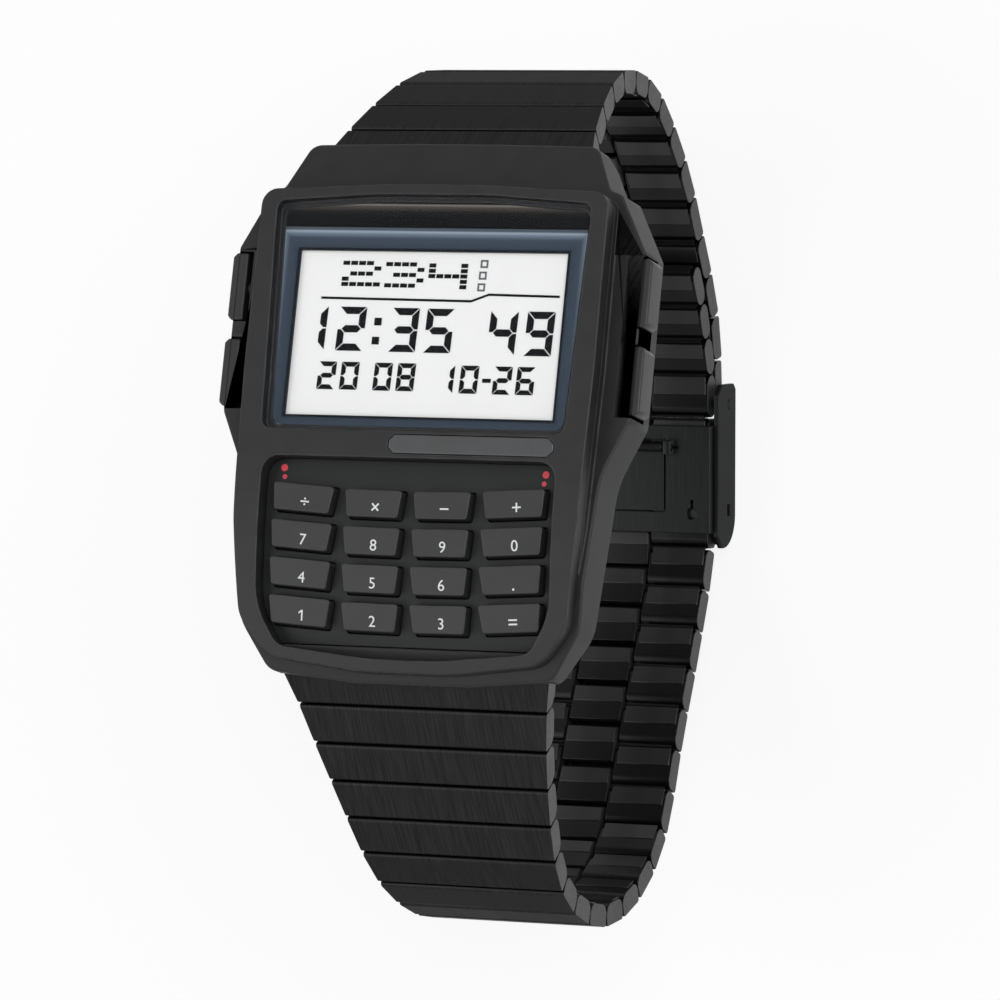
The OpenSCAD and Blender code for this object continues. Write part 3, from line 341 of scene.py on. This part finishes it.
def makeMaskPrint():
    material, tree, shader = newMaterial("maskPrint")
    link = tree.links.new
    coord = addNode(tree, "ShaderNodeTexCoord", (-1800, 0))
    away = addNode(tree, "ShaderNodeVectorMath", (-1600, 0), operation="SUBTRACT")
    away.inputs[1].default_value = dial["middle"]
    turn = addNode(tree, "ShaderNodeVectorRotate", (-1400, 0), rotation_type="X_AXIS")
    turn.inputs["Angle"].default_value = dial["tilt"]
    split = addNode(tree, "ShaderNodeSeparateXYZ", (-1200, 0))
    link(coord.outputs["Object"], away.inputs[0])
    link(away.outputs[0], turn.inputs["Vector"])
    link(turn.outputs[0], split.inputs[0])

    def compute(operation, place, *values):
        node = addNode(tree, "ShaderNodeMath", place, operation=operation)
        for socket, value in zip(node.inputs, values):
            if isinstance(value, (int, float)):
                socket.default_value = value
            else:
                link(value, socket)
        return node.outputs[0]

    awayX = compute("ABSOLUTE", (-1000, 200), split.outputs["X"])
    sideX = compute("SUBTRACT", (-800, 200), awayX, maskLook["halfWidth"])
    fromMiddle = compute("SUBTRACT", (-1000, 0), split.outputs["Y"], maskLook["middleY"])
    awayY = compute("ABSOLUTE", (-800, 0), fromMiddle)
    sideY = compute("SUBTRACT", (-600, 0), awayY, maskLook["halfHeight"])
    out = compute("DIVIDE", (-250, 100), compute("MAXIMUM", (-400, 100), sideX, sideY), maskLook["reach"])
    # painted shadow by the window and painted highlight towards the rim
    borderWithPaintedLight = addRamp(tree, (-50, 200), maskLook["borderWithPaintedLight"])
    link(out, borderWithPaintedLight.inputs[0])
    climb = addRange(tree, (-250, -200), maskLook["bandStart"], maskLook["bandEnd"])
    link(split.outputs["Y"], climb.inputs["Value"])
    # painted reflection on the black band
    band = addRamp(tree, (-50, -200), maskLook["band"])
    link(climb.outputs[0], band.inputs[0])
    isBand = compute("GREATER_THAN", (200, -300), split.outputs["Y"], maskLook["bandStart"])
    both = addNode(tree, "ShaderNodeMix", (350, 0), data_type="RGBA")
    link(isBand, both.inputs["Factor"])
    link(borderWithPaintedLight.outputs[0], both.inputs["A"])
    link(band.outputs[0], both.inputs["B"])
    link(both.outputs["Result"], shader.inputs["Base Color"])
    shader.inputs["Roughness"].default_value = maskLook["rough"]
    shader.inputs["Specular IOR Level"].default_value = maskLook["shine"]
    return material


finish["crystalGlass"] = makeCrystalGlass()
finish["maskPrint"] = makeMaskPrint()
print("finishes made")

# Pieces from the CAD solids, with their edges broken
shell = {
    "weld": 0.002 * mm,                     # loose corners this near are one corner
    "flatWithin": math.radians(0.4),        # faces this near to flat are one face
    "bevelOver": math.radians(32),          # edges sharper than this are broken
    "segments": 2,
    "smoothUnder": math.radians(35),
    "printSmoothUnder": math.radians(20),
}


def meshPiece(name, bm, materials, body, replaced=None, smooth=shell["smoothUnder"]):
    mesh = bpy.data.meshes.new(name)
    bm.to_mesh(mesh)
    bm.free()
    for material in materials:
        mesh.materials.append(material)
    mesh.polygons.foreach_set("use_smooth", [True] * len(mesh.polygons))
    mesh.set_sharp_from_angle(angle=smooth)
    piece = bpy.data.objects.new(name, mesh)
    bpy.context.scene.collection.objects.link(piece)
    flat = piece.modifiers.new("flatFaces", "WEIGHTED_NORMAL")
    flat.keep_sharp = True
    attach(piece, body)
    if replaced:
        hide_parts(replaced)
    return piece


def mergedCopy(node):
    bm = bmesh.new()
    bm.from_mesh(nodes[node].data)
    bmesh.ops.remove_doubles(bm, verts=bm.verts, dist=shell["weld"])
    bmesh.ops.dissolve_limit(bm, angle_limit=shell["flatWithin"], verts=bm.verts, edges=bm.edges,
                             use_dissolve_boundaries=False)
    return bm


def breakEdges(bm, width):
    # outward edges only, inner corners stay as they are
    outward = [e for e in bm.edges if e.is_manifold and e.is_convex]
    sharp = [e for e in outward if e.calc_face_angle(0) > shell["bevelOver"]]
    bmesh.ops.bevel(bm, geom=sharp, offset=width, offset_type="OFFSET", segments=shell["segments"],
                    profile=0.5, affect="EDGES", material=-1, clamp_overlap=False)


def looseParts(bm):
    parts, seen = [], set()
    for start in bm.verts:
        if start in seen:
            continue
        part, waiting = [], [start]
        seen.add(start)
        while waiting:
            vert = waiting.pop()
            part.append(vert.co.copy())
            for edge in vert.link_edges:
                other = edge.other_vert(vert)
                if other not in seen:
                    seen.add(other)
                    waiting.append(other)
        parts.append(part)
    return parts


def dressed(node, materials, width, paint=None, folded=False):
    bm = mergedCopy(node)
    spans = [linkSpan(part) for part in looseParts(bm)] if folded else []
    breakEdges(bm, width)
    bm.normal_update()
    if paint:
        for face in bm.faces:
            face.material_index = paint(face)
    addFolds(bm, spans)
    return meshPiece(node + "_skin", bm, materials, bodyOf[node], node)


# Head: the case, its name plate, pushers and keys
head = {"caseBevel": 0.15 * mm, "pusherBevel": 0.14 * mm, "keyBevel": 0.09 * mm, "nameBevel": 0.08 * mm}


def dressHead():
    dressed("case_middle", [finish["caseBlack"]], head["caseBevel"])
    dressed("name_plate", [finish["plateGloss"]], head["nameBevel"])
    for node in nodes:
        if node.startswith("pusher_") and node != "pusher_springs":
            dressed(node, [finish["pusherBlack"]], head["pusherBevel"])
        if node.startswith("key_"):
            dressed(node, [finish["keyBlack"]], head["keyBevel"])


# Bracelet: brushed outer faces, dark cut sides, smooth folded inner faces whose folded sheet is lighter as a
# painted sheen, near-black plates of painted shade in the gaps between the links
strap = {
    "bevel": 0.06 * mm,
    "loopMiddle": Vector((0, -1 * mm, 25 * mm)),
    "leastHalfWidth": 7.2 * mm,     # links are wider than this, centre pieces narrower
    "endShare": 0.3,                # of the half length: corners further out belong to an end
    "tabWidth": 5.3 * mm,           # solid ends of a link, each side of its centre pieces
    "gapShadeReach": 0.05 * mm,          # how far the painted-shade plate stands out into the gap
    "gapShadeRoot": 0.2 * mm,            # how deep it starts inside the link
    "gapShadeHalf": 0.5 * mm,
    "gapShadeInset": 0.5 * mm,           # the painted-shade plate ends this far inside a link's side
    "holders": (Vector((0, 25.5 * mm, 41.4 * mm)), Vector((0, -14.9 * mm, 50 * mm)),
        Vector((0, 4.2 * mm, 1.5 * mm))),
    "holderRoom": 1.6 * mm,         # no painted-shade plate this near a spring bar or the clasp's pin
    "foldShare": 0.42,              # of a link's length, covered by the folded sheet inside
    "foldThick": 0.1 * mm,
    "foldSunk": 0.3,                # share of the sheet's thickness that lies in the link
    "foldBevel": 0.4,               # share of the sheet's thickness
    "foldInset": 0.12 * mm,
    "sideFacing": 0.8,              # a face turned sideways more than this is a cut side
    "outFacing": 0.45,              # and one turned outwards more than this is an outer face
    "finishes": ("linkOuter", "linkSide", "linkInner", "linkGapShade", "linkFoldSheen"),
}
gapShadePaint, foldSheenPaint = 3, 4          # places of linkGapShade (painted shade) and linkFoldSheen (painted sheen) in that row


def linkSpan(points):
    # the frame of one link or centre piece: middle, direction along the bracelet and inward, half sizes
    middle = sum(points, Vector()) / len(points)
    yy = sum((p.y - middle.y) ** 2 for p in points)
    zz = sum((p.z - middle.z) ** 2 for p in points)
    yz = sum((p.y - middle.y) * (p.z - middle.z) for p in points)
    angle = 0.5 * math.atan2(2 * yz, yy - zz)
    along = Vector((0, math.cos(angle), math.sin(angle)))
    inward = Vector((0, -along.z, along.y))
    if inward.dot(strap["loopMiddle"] - middle) < 0:
        inward = -inward
    reach = [(p - middle).dot(along) for p in points]
    rise = [(p - middle).dot(inward) for p in points]
    centre = middle + along * (min(reach) + max(reach)) / 2 + inward * (min(rise) + max(rise)) / 2
    centre.x = 0
    half = (max(reach) - min(reach)) / 2
    atEnd = half * strap["endShare"]
    widths = [max(p.x for p in points if side * (p - centre).dot(along) > atEnd) for side in (-1, 1)]
    return {"centre": centre, "along": along, "inward": inward, "half": half, "widths": widths,
            "thick": (max(rise) - min(rise)) / 2, "whole": max(widths) > strap["leastHalfWidth"]}


def addPlate(bm, span, low, high, material, bevel=0):
    # a thin block in a link's own frame: across, along and inward from its middle
    turn = Matrix((Vector((1, 0, 0)), span["along"], span["inward"])).transposed().to_4x4()
    middle = (Vector(low) + Vector(high)) / 2
    size = Vector(high) - Vector(low)
    place = Matrix.Translation(span["centre"]) @ turn @ Matrix.Translation(middle)
    place = place @ Matrix.Diagonal((*size, 1))
    made = bmesh.ops.create_cube(bm, size=1, matrix=place)["verts"]
    faces = {f for v in made for f in v.link_faces}
    if turn.determinant() < 0:
        bmesh.ops.reverse_faces(bm, faces=list(faces))
    for face in faces:
        face.material_index = material
    if bevel:
        edges = list({e for v in made for e in v.link_edges})
        bmesh.ops.bevel(bm, geom=edges, offset=bevel, offset_type="OFFSET", segments=shell["segments"],
                        profile=0.5, affect="EDGES", material=-1)


def addSheet(bm, span, left, right):
    # the folded sheet on the inner face, near one end of the link, made lighter than the inner face as a
    # painted sheen
    sheet, inset = strap["foldThick"], strap["foldInset"]
    high = span["half"] - inset
    low = high - 2 * span["half"] * strap["foldShare"]
    bottom = span["thick"] - sheet * strap["foldSunk"]
    bevel = sheet * strap["foldBevel"]
    addPlate(bm, span, (left, low, bottom), (right, high, bottom + sheet), foldSheenPaint, bevel)


def addGapShades(bm, span):
    # the near-black plates of painted shade that stand out into the gaps at both ends of a link
    for side, width in zip((-1, 1), span["widths"]):
        end = span["centre"] + span["along"] * side * span["half"]
        if min((end - holder).length for holder in strap["holders"]) < strap["holderRoom"]:
            continue
        width -= strap["gapShadeInset"]
        ends = sorted((side * (span["half"] - strap["gapShadeRoot"]), side * (span["half"] + strap["gapShadeReach"])))
        addPlate(bm, span, (-width, ends[0], -strap["gapShadeHalf"]), (width, ends[1], strap["gapShadeHalf"]), gapShadePaint)


def addFolds(bm, spans):
    inset = strap["foldInset"]
    for span in spans:
        outer = min(span["widths"])
        if not span["whole"]:
            addSheet(bm, span, inset - outer, outer - inset)
            continue
        addGapShades(bm, span)
        for side in (-1, 1):
            left, right = sorted((side * (outer - strap["tabWidth"] + 2 * inset), side * (outer - 2 * inset)))
            addSheet(bm, span, left, right)


def strapPaint(face):
    if abs(face.normal.x) > strap["sideFacing"]:
        return 1
    outward = face.calc_center_median() - strap["loopMiddle"]
    outward.x = 0
    return 0 if face.normal.dot(outward.normalized()) > strap["outFacing"] else 2


def sliderPaint(face):
    return 1 if abs(face.normal.x) > strap["sideFacing"] else 0


def dressBracelet():
    materials = [finish[name] for name in strap["finishes"]]
    for node in nodes:
        if "_strap_" in node or node == "strap_tail":
            dressed(node, materials, strap["bevel"], strapPaint, folded=True)


clasp = {"coverBevel": 0.07 * mm, "sliderBevel": 0.05 * mm, "lockBevel": 0.05 * mm}


def dressClasp():
    plate = finish["claspPlate"]
    dressed("clasp_cover", [finish["linkOuter"], plate, plate], clasp["coverBevel"], strapPaint)
    dressed("clasp_slider", [plate, finish["linkSide"]], clasp["sliderBevel"], sliderPaint)
    dressed("lock_plate", [plate], clasp["lockBevel"])


# These pieces keep their CAD shape and take a finish
kept = {
    "bezel": "rimBlack", "keypad_plate": "padBlack", "display_mask": "maskPrint", "crystal": "crystalGlass",
    "lcd_panel": "panelPale", "lcd_reflector": "foil", "zebra_connectors": "elastomer",
    "module_frame": "frameWhite", "circuit_board": "boardGreen", "battery": "cellSteel",
    "battery_clip": "springSteel", "buzzer_disc": "brass", "keypad_membrane": "membrane",
    "case_back": "backSteel", "back_gasket": "rubber", "back_screws": "screwSteel",
    "spring_bars": "springSteel", "pusher_springs": "springSteel",
}


def finishKept():
    for node, look in kept.items():
        mesh = nodes[node].data
        mesh.materials.clear()
        mesh.materials.append(finish[look])


dressHead()
print("head dressed")
dressBracelet()
dressClasp()
print("bracelet dressed")
finishKept()

# Display: seven-bar digits, dot digits and plain marks, on the panel under the crystal.
# Places and sizes are in mm on the dial; a digit's row is its value and its lower left corner.
display = {
    "level": -1.34 * mm,
    "thick": 0.03 * mm,
    "slant": 0.03,
    "barGap": 0.1,              # share of a bar's width, left between two bars
    "large": [(1, -11.54, 6.3), (2, -8.08, 6.26), (3, -3.36, 6.24), (5, -0.24, 6.22), (4, 5.4, 6.14),
        (9, 8.64, 6.12)],
    "largeSize": (2.42, 3.68, 0.6),
    "small": [(2, -9.42, 3.01), (0, -7.38, 3.01), (0, -4.4, 2.99), (8, -2.34, 2.99), (1, 1.14, 2.9),
        (0, 3.28, 2.9), (2, 6.22, 2.88), (6, 8.24, 2.88)],
    "smallSize": (1.58, 2.32, 0.4),
    "dash": (5.28, 3.83, 0.75, 0.34),
    "dots": (("####.", "....#", ".###.", "#....", "#####"), ("####.", "....#", ".###.", "....#", "####."),
        ("#...#", "#...#", "#####", "....#", "....#")),
    "dotsAt": (-8.1, 13.8), "charStep": (3.86, -0.06), "dotStep": (0.71, 0.445), "dotSize": (0.6, 0.34),
    "divider": [(-9.78, 10.67), (3.62, 10.57), (5.14, 11.14), (11.38, 11.06)], "dividerWidth": 0.2,
    "boxes": [(4.49, 13.69), (4.44, 12.72), (4.4, 11.74)], "boxSize": 0.67, "boxLine": 0.15,
    "colon": [(-4.47, 8.74), (-4.54, 7.15)], "colonSize": 0.64,
}
barsLit = ["1111110", "0110000", "1101101", "1111001", "0110011", "1011011", "1011111", "1110000", "1111111",
    "1111011"]


def flatShape(bm, points, material=0):
    # a plain outline on the dial, made into a thin plate
    corners = [bm.verts.new((x * mm, y * mm, display["level"])) for x, y in points]
    face = bm.faces.new(corners)
    face.normal_update()
    if face.normal.z < 0:
        face.normal_flip()
    face.material_index = material
    raised = bmesh.ops.extrude_face_region(bm, geom=[face])
    moved = [g for g in raised["geom"] if isinstance(g, bmesh.types.BMVert)]
    bmesh.ops.translate(bm, verts=moved, vec=(0, 0, display["thick"]))


def barOutlines(width, height, bar):
    # top, upper right, lower right, bottom, lower left, upper left and middle bar of a digit
    gap = bar * display["barGap"]
    half, tip, inner = height / 2, bar / 2, width - bar
    return [
        [(gap, height), (width - gap, height), (inner - gap, height - bar), (bar + gap, height - bar)],
        [(width, height - gap), (width, half + gap), (width - tip, half + gap), (inner, half + tip + gap),
            (inner, height - bar - gap)],
        [(width, half - gap), (width, gap), (inner, bar + gap), (inner, half - tip - gap),
            (width - tip, half - gap)],
        [(gap, 0), (bar + gap, bar), (inner - gap, bar), (width - gap, 0)],
        [(0, gap), (0, half - gap), (tip, half - gap), (bar, half - tip - gap), (bar, bar + gap)],
        [(0, half + gap), (0, height - gap), (bar, height - bar - gap), (bar, half + tip + gap),
            (tip, half + gap)],
        [(tip + gap, half), (bar + gap, half + tip), (inner - gap, half + tip), (width - tip - gap, half),
            (inner - gap, half - tip), (bar + gap, half - tip)],
    ]


def slanted(points, x, y):
    return [(x + px + py * display["slant"], y + py) for px, py in points]


def boxPoints(x, y, w, h):
    return [(x, y), (x + w, y), (x + w, y + h), (x, y + h)]


def addBarDigits(bm, rows, size):
    outlines = barOutlines(*size)
    for value, x, y in rows:
        for lit, outline in zip(barsLit[value], outlines):
            if lit == "1":
                flatShape(bm, slanted(outline, x, y))


def addDotDigits(bm):
    startX, startY = display["dotsAt"]
    for place, rows in enumerate(display["dots"]):
        for row, line in enumerate(rows):
            for column, mark in enumerate(line):
                if mark == "#":
                    x = startX + place * display["charStep"][0] + column * display["dotStep"][0]
                    y = startY + place * display["charStep"][1] - row * display["dotStep"][1]
                    dot = boxPoints(0, 0, *display["dotSize"])
                    flatShape(bm, slanted(dot, x, y - display["dotSize"][1]))


def addBoxes(bm):
    size, line = display["boxSize"], display["boxLine"]
    for middleX, middleY in display["boxes"]:
        x, y = middleX - size / 2, middleY - size / 2
        flatShape(bm, boxPoints(x, y, size, line), 1)
        flatShape(bm, boxPoints(x, y + size - line, size, line), 1)
        flatShape(bm, boxPoints(x, y + line, line, size - 2 * line), 1)
        flatShape(bm, boxPoints(x + size - line, y + line, line, size - 2 * line), 1)


def addDisplay():
    bm = bmesh.new()
    addBarDigits(bm, display["large"], display["largeSize"])
    addBarDigits(bm, display["small"], display["smallSize"])
    flatShape(bm, boxPoints(*display["dash"]))
    side = display["colonSize"]
    for x, y in display["colon"]:
        flatShape(bm, boxPoints(x - side / 2, y - side / 2, side, side))
    addDotDigits(bm)
    half = display["dividerWidth"] / 2
    line = display["divider"]
    flatShape(bm, [(x, y + half) for x, y in line] + [(x, y - half) for x, y in reversed(line)])
    addBoxes(bm)
    bmesh.ops.recalc_face_normals(bm, faces=bm.faces)
    bmesh.ops.transform(bm, matrix=dialPlace, verts=bm.verts)
    inks = [finish["inkBlack"], finish["inkGrey"]]
    meshPiece("panel_marks", bm, inks, "head", "lcd_segments")


addDisplay()
print("display drawn")

# Key labels and the printed dots of the keypad
keypad = {
    "columns": (-9.35 * mm, -3.05 * mm, 3.05 * mm, 9.35 * mm),
    "turns": (-3.5, -0.7, 0.7, 3.5),        # degrees, the outer keys lean outwards
    "lifts": (0.3 * mm, 0, 0, 0.3 * mm),
    "firstRow": -6.5,                       # mm
    "rowPitch": 3.05,                       # mm
    "keyDrop": 0.5 * mm,                    # key tops under the face
    "plateDrop": 1.5 * mm,                  # keypad plate under the face
    "labelHeight": 1.3 * mm,
    "signHeight": 1.6 * mm,
    "labelThick": 0.02 * mm,
    "labelShift": (0.28 * mm, -0.38 * mm),
    "labelCurve": 6,
    "dots": ((-11.6, -3.6, 0.32), (-11.5, -4.35, 0.22), (11.6, -3.6, 0.32), (11.5, -4.35, 0.22)),
    "dotThick": 0.06 * mm, "dotTaper": 0.92, "dotSides": 24,
}
keyRows = (("divide", "multiply", "minus", "plus"), ("7", "8", "9", "0"), ("4", "5", "6", "point"),
           ("1", "2", "3", "equals"))
keySigns = {"divide": "÷", "multiply": "×", "minus": "−", "plus": "+", "point": ".", "equals": "="}

# The short slanted stroke at the top of a 1
flag = {"reach": 0.24 * mm, "drop": 0.2 * mm, "lowDrop": 0.34 * mm, "rootDrop": 0.18 * mm, "shift": 0.06 * mm}


def textMesh(text, size, thick):
    curve = bpy.data.curves.new("label", "FONT")
    curve.body = text
    curve.size = size
    curve.extrude = thick
    curve.align_x = "CENTER"
    curve.align_y = "CENTER"
    curve.resolution_u = keypad["labelCurve"]
    holder = bpy.data.objects.new("label", curve)
    bpy.context.scene.collection.objects.link(holder)
    bpy.context.view_layer.update()
    mesh = bpy.data.meshes.new_from_object(holder.evaluated_get(bpy.context.evaluated_depsgraph_get()))
    bpy.data.objects.remove(holder)
    return mesh


def addFlag(bm):
    top = max(v.co.y for v in bm.verts)
    left = min(v.co.x for v in bm.verts)
    high, low = max(v.co.z for v in bm.verts), min(v.co.z for v in bm.verts)
    stroke = [(left, top), (left - flag["reach"], top - flag["drop"]),
              (left - flag["reach"], top - flag["lowDrop"]), (left, top - flag["rootDrop"])]
    face = bm.faces.new([bm.verts.new((x, y, low)) for x, y in stroke])
    raised = bmesh.ops.extrude_face_region(bm, geom=[face])
    moved = [g for g in raised["geom"] if isinstance(g, bmesh.types.BMVert)]
    bmesh.ops.translate(bm, verts=moved, vec=(0, 0, high - low))
    bmesh.ops.recalc_face_normals(bm, faces=bm.faces)
    bmesh.ops.translate(bm, verts=bm.verts, vec=(flag["shift"], 0, 0))


def labelPlace(row, column):
    # on a key's top, turned as the key is
    y = (keypad["firstRow"] - row * keypad["rowPitch"]) * mm
    slope = faceSlope(y)
    lift = keypad["lifts"][column]
    top = faceHeight(y) - keypad["keyDrop"] + math.tan(slope) * lift
    place = dialPlace @ Matrix.Translation((keypad["columns"][column], y + lift, top))
    place = place @ Matrix.Rotation(math.radians(keypad["turns"][column]), 4, "Z")
    place = place @ Matrix.Rotation(slope, 4, "X")
    return place @ Matrix.Translation((*keypad["labelShift"], 0))


def addLabels():
    for row, names in enumerate(keyRows):
        for column, name in enumerate(names):
            size = keypad["signHeight"] if name in keySigns else keypad["labelHeight"]
            bm = bmesh.new()
            bm.from_mesh(textMesh(keySigns.get(name, name), size, keypad["labelThick"]))
            if name == "1":
                addFlag(bm)
            bmesh.ops.transform(bm, matrix=labelPlace(row, column), verts=bm.verts)
            meshPiece("label_" + name, bm, [finish["labelPrint"]], "key_" + name,
                      smooth=shell["printSmoothUnder"])


def addDots():
    bm = bmesh.new()
    for x, y, radius in keypad["dots"]:
        foot = radius * mm
        middle = (x * mm, y * mm, faceHeight(y * mm) - keypad["plateDrop"])
        place = dialPlace @ Matrix.Translation(middle) @ Matrix.Rotation(faceSlope(y * mm), 4, "X")
        bmesh.ops.create_cone(bm, cap_ends=True, segments=keypad["dotSides"], radius1=foot,
                              radius2=foot * keypad["dotTaper"], depth=keypad["dotThick"], matrix=place)
    meshPiece("keypad_dots", bm, [finish["redPrint"]], "head",
              smooth=shell["printSmoothUnder"])


addLabels()
addDots()
print("labels printed")

# Floor, light and camera
studio = {
    "aim": (-1.92 * mm, -2.87 * mm, 28.01 * mm),
    "turn": math.radians(100.044), "lift": math.radians(67.012), "roll": math.radians(-99.18),
    "distance": 542.76 * mm,
    "lens": 230.28, "sensor": 36,           # mm
    "nearest": 10 * mm,
    "floorSize": 3.0,
    "floorShade": 0.72, "floorRough": 0.9, "floorShine": 0.1,
    "floorWhite": 0.85,                     # share of plain white where the camera looks
    "sky": 0.5,
    "lampAim": (0, 0, 30 * mm),
    "lamps": (("keyLamp", (0.5, 0.25, 0.9), 0.6, 7.0), ("fillLamp", (-0.7, -0.1, 0.8), 0.8, 4.5),
              ("sideLamp", (0.9, -0.2, 0.25), 0.5, 2.2)),       # name, place, size, watts
}


def addCamera():
    turn, lift = studio["turn"], studio["lift"]
    forward = Vector((-math.sin(turn) * math.cos(lift), math.cos(turn) * math.cos(lift), -math.sin(lift)))
    right = forward.cross(Vector((0, 0, 1))).normalized()
    right = Matrix.Rotation(-studio["roll"], 3, forward) @ right
    up = right.cross(forward)
    turned = Matrix((right, up, -forward)).transposed().to_4x4()
    data = bpy.data.cameras.new("camera")
    data.lens = studio["lens"]
    data.sensor_width = studio["sensor"]
    data.clip_start = studio["nearest"]
    camera = bpy.data.objects.new("camera", data)
    bpy.context.scene.collection.objects.link(camera)
    camera.matrix_world = Matrix.Translation(Vector(studio["aim"]) - forward * studio["distance"]) @ turned
    bpy.context.scene.camera = camera


def showWhite(tree, place):
    # 1 where the camera, a mirror or glass looks straight at the surface
    link = tree.links.new
    path = addNode(tree, "ShaderNodeLightPath", place)
    first = addNode(tree, "ShaderNodeMath", (place[0] + 200, place[1]), operation="MAXIMUM")
    second = addNode(tree, "ShaderNodeMath", (place[0] + 400, place[1]), operation="MAXIMUM")
    link(path.outputs["Is Camera Ray"], first.inputs[0])
    link(path.outputs["Is Glossy Ray"], first.inputs[1])
    link(first.outputs[0], second.inputs[0])
    link(path.outputs["Is Transmission Ray"], second.inputs[1])
    return second.outputs[0]


def makeFloorPaper():
    material, tree, shader = newMaterial("floorPaper")
    link = tree.links.new
    shader.inputs["Base Color"].default_value = (*[studio["floorShade"]] * 3, 1)
    shader.inputs["Roughness"].default_value = studio["floorRough"]
    shader.inputs["Specular IOR Level"].default_value = studio["floorShine"]
    glow = addNode(tree, "ShaderNodeEmission", (0, -200))
    part = addNode(tree, "ShaderNodeMath", (0, 300), operation="MULTIPLY")
    part.inputs[1].default_value = studio["floorWhite"]
    mix = addNode(tree, "ShaderNodeMixShader", (300, 0))
    link(showWhite(tree, (-700, 300)), part.inputs[0])
    link(part.outputs[0], mix.inputs[0])
    link(shader.outputs[0], mix.inputs[1])
    link(glow.outputs[0], mix.inputs[2])
    link(mix.outputs[0], tree.nodes["Material Output"].inputs["Surface"])
    return material


def addFloor():
    bm = bmesh.new()
    bmesh.ops.create_grid(bm, x_segments=1, y_segments=1, size=studio["floorSize"] / 2)
    mesh = bpy.data.meshes.new("floor")
    bm.to_mesh(mesh)
    bm.free()
    mesh.materials.append(makeFloorPaper())
    floor = bpy.data.objects.new("floor", mesh)
    bpy.context.scene.collection.objects.link(floor)


def addSky():
    world = bpy.data.worlds.new("studioWorld")
    bpy.context.scene.world = world
    world.use_nodes = True
    tree = world.node_tree
    link = tree.links.new
    sky = tree.nodes["Background"]
    sky.inputs["Color"].default_value = (1, 1, 1, 1)
    sky.inputs["Strength"].default_value = studio["sky"]
    white = addNode(tree, "ShaderNodeBackground", (0, -200))
    white.inputs["Color"].default_value = (1, 1, 1, 1)
    mix = addNode(tree, "ShaderNodeMixShader", (200, 0))
    link(showWhite(tree, (-700, 200)), mix.inputs[0])
    link(sky.outputs[0], mix.inputs[1])
    link(white.outputs[0], mix.inputs[2])
    link(mix.outputs[0], tree.nodes["World Output"].inputs["Surface"])


def addLamps():
    for name, place, size, power in studio["lamps"]:
        data = bpy.data.lights.new(name, "AREA")
        data.size = size
        data.energy = power
        lamp = bpy.data.objects.new(name, data)
        bpy.context.scene.collection.objects.link(lamp)
        lamp.location = place
        lamp.rotation_euler = (Vector(studio["lampAim"]) - Vector(place)).to_track_quat("-Z", "Y").to_euler()


addCamera()
addFloor()
addSky()
addLamps()
bpy.context.scene.view_settings.view_transform = "Standard"
print("studio ready")
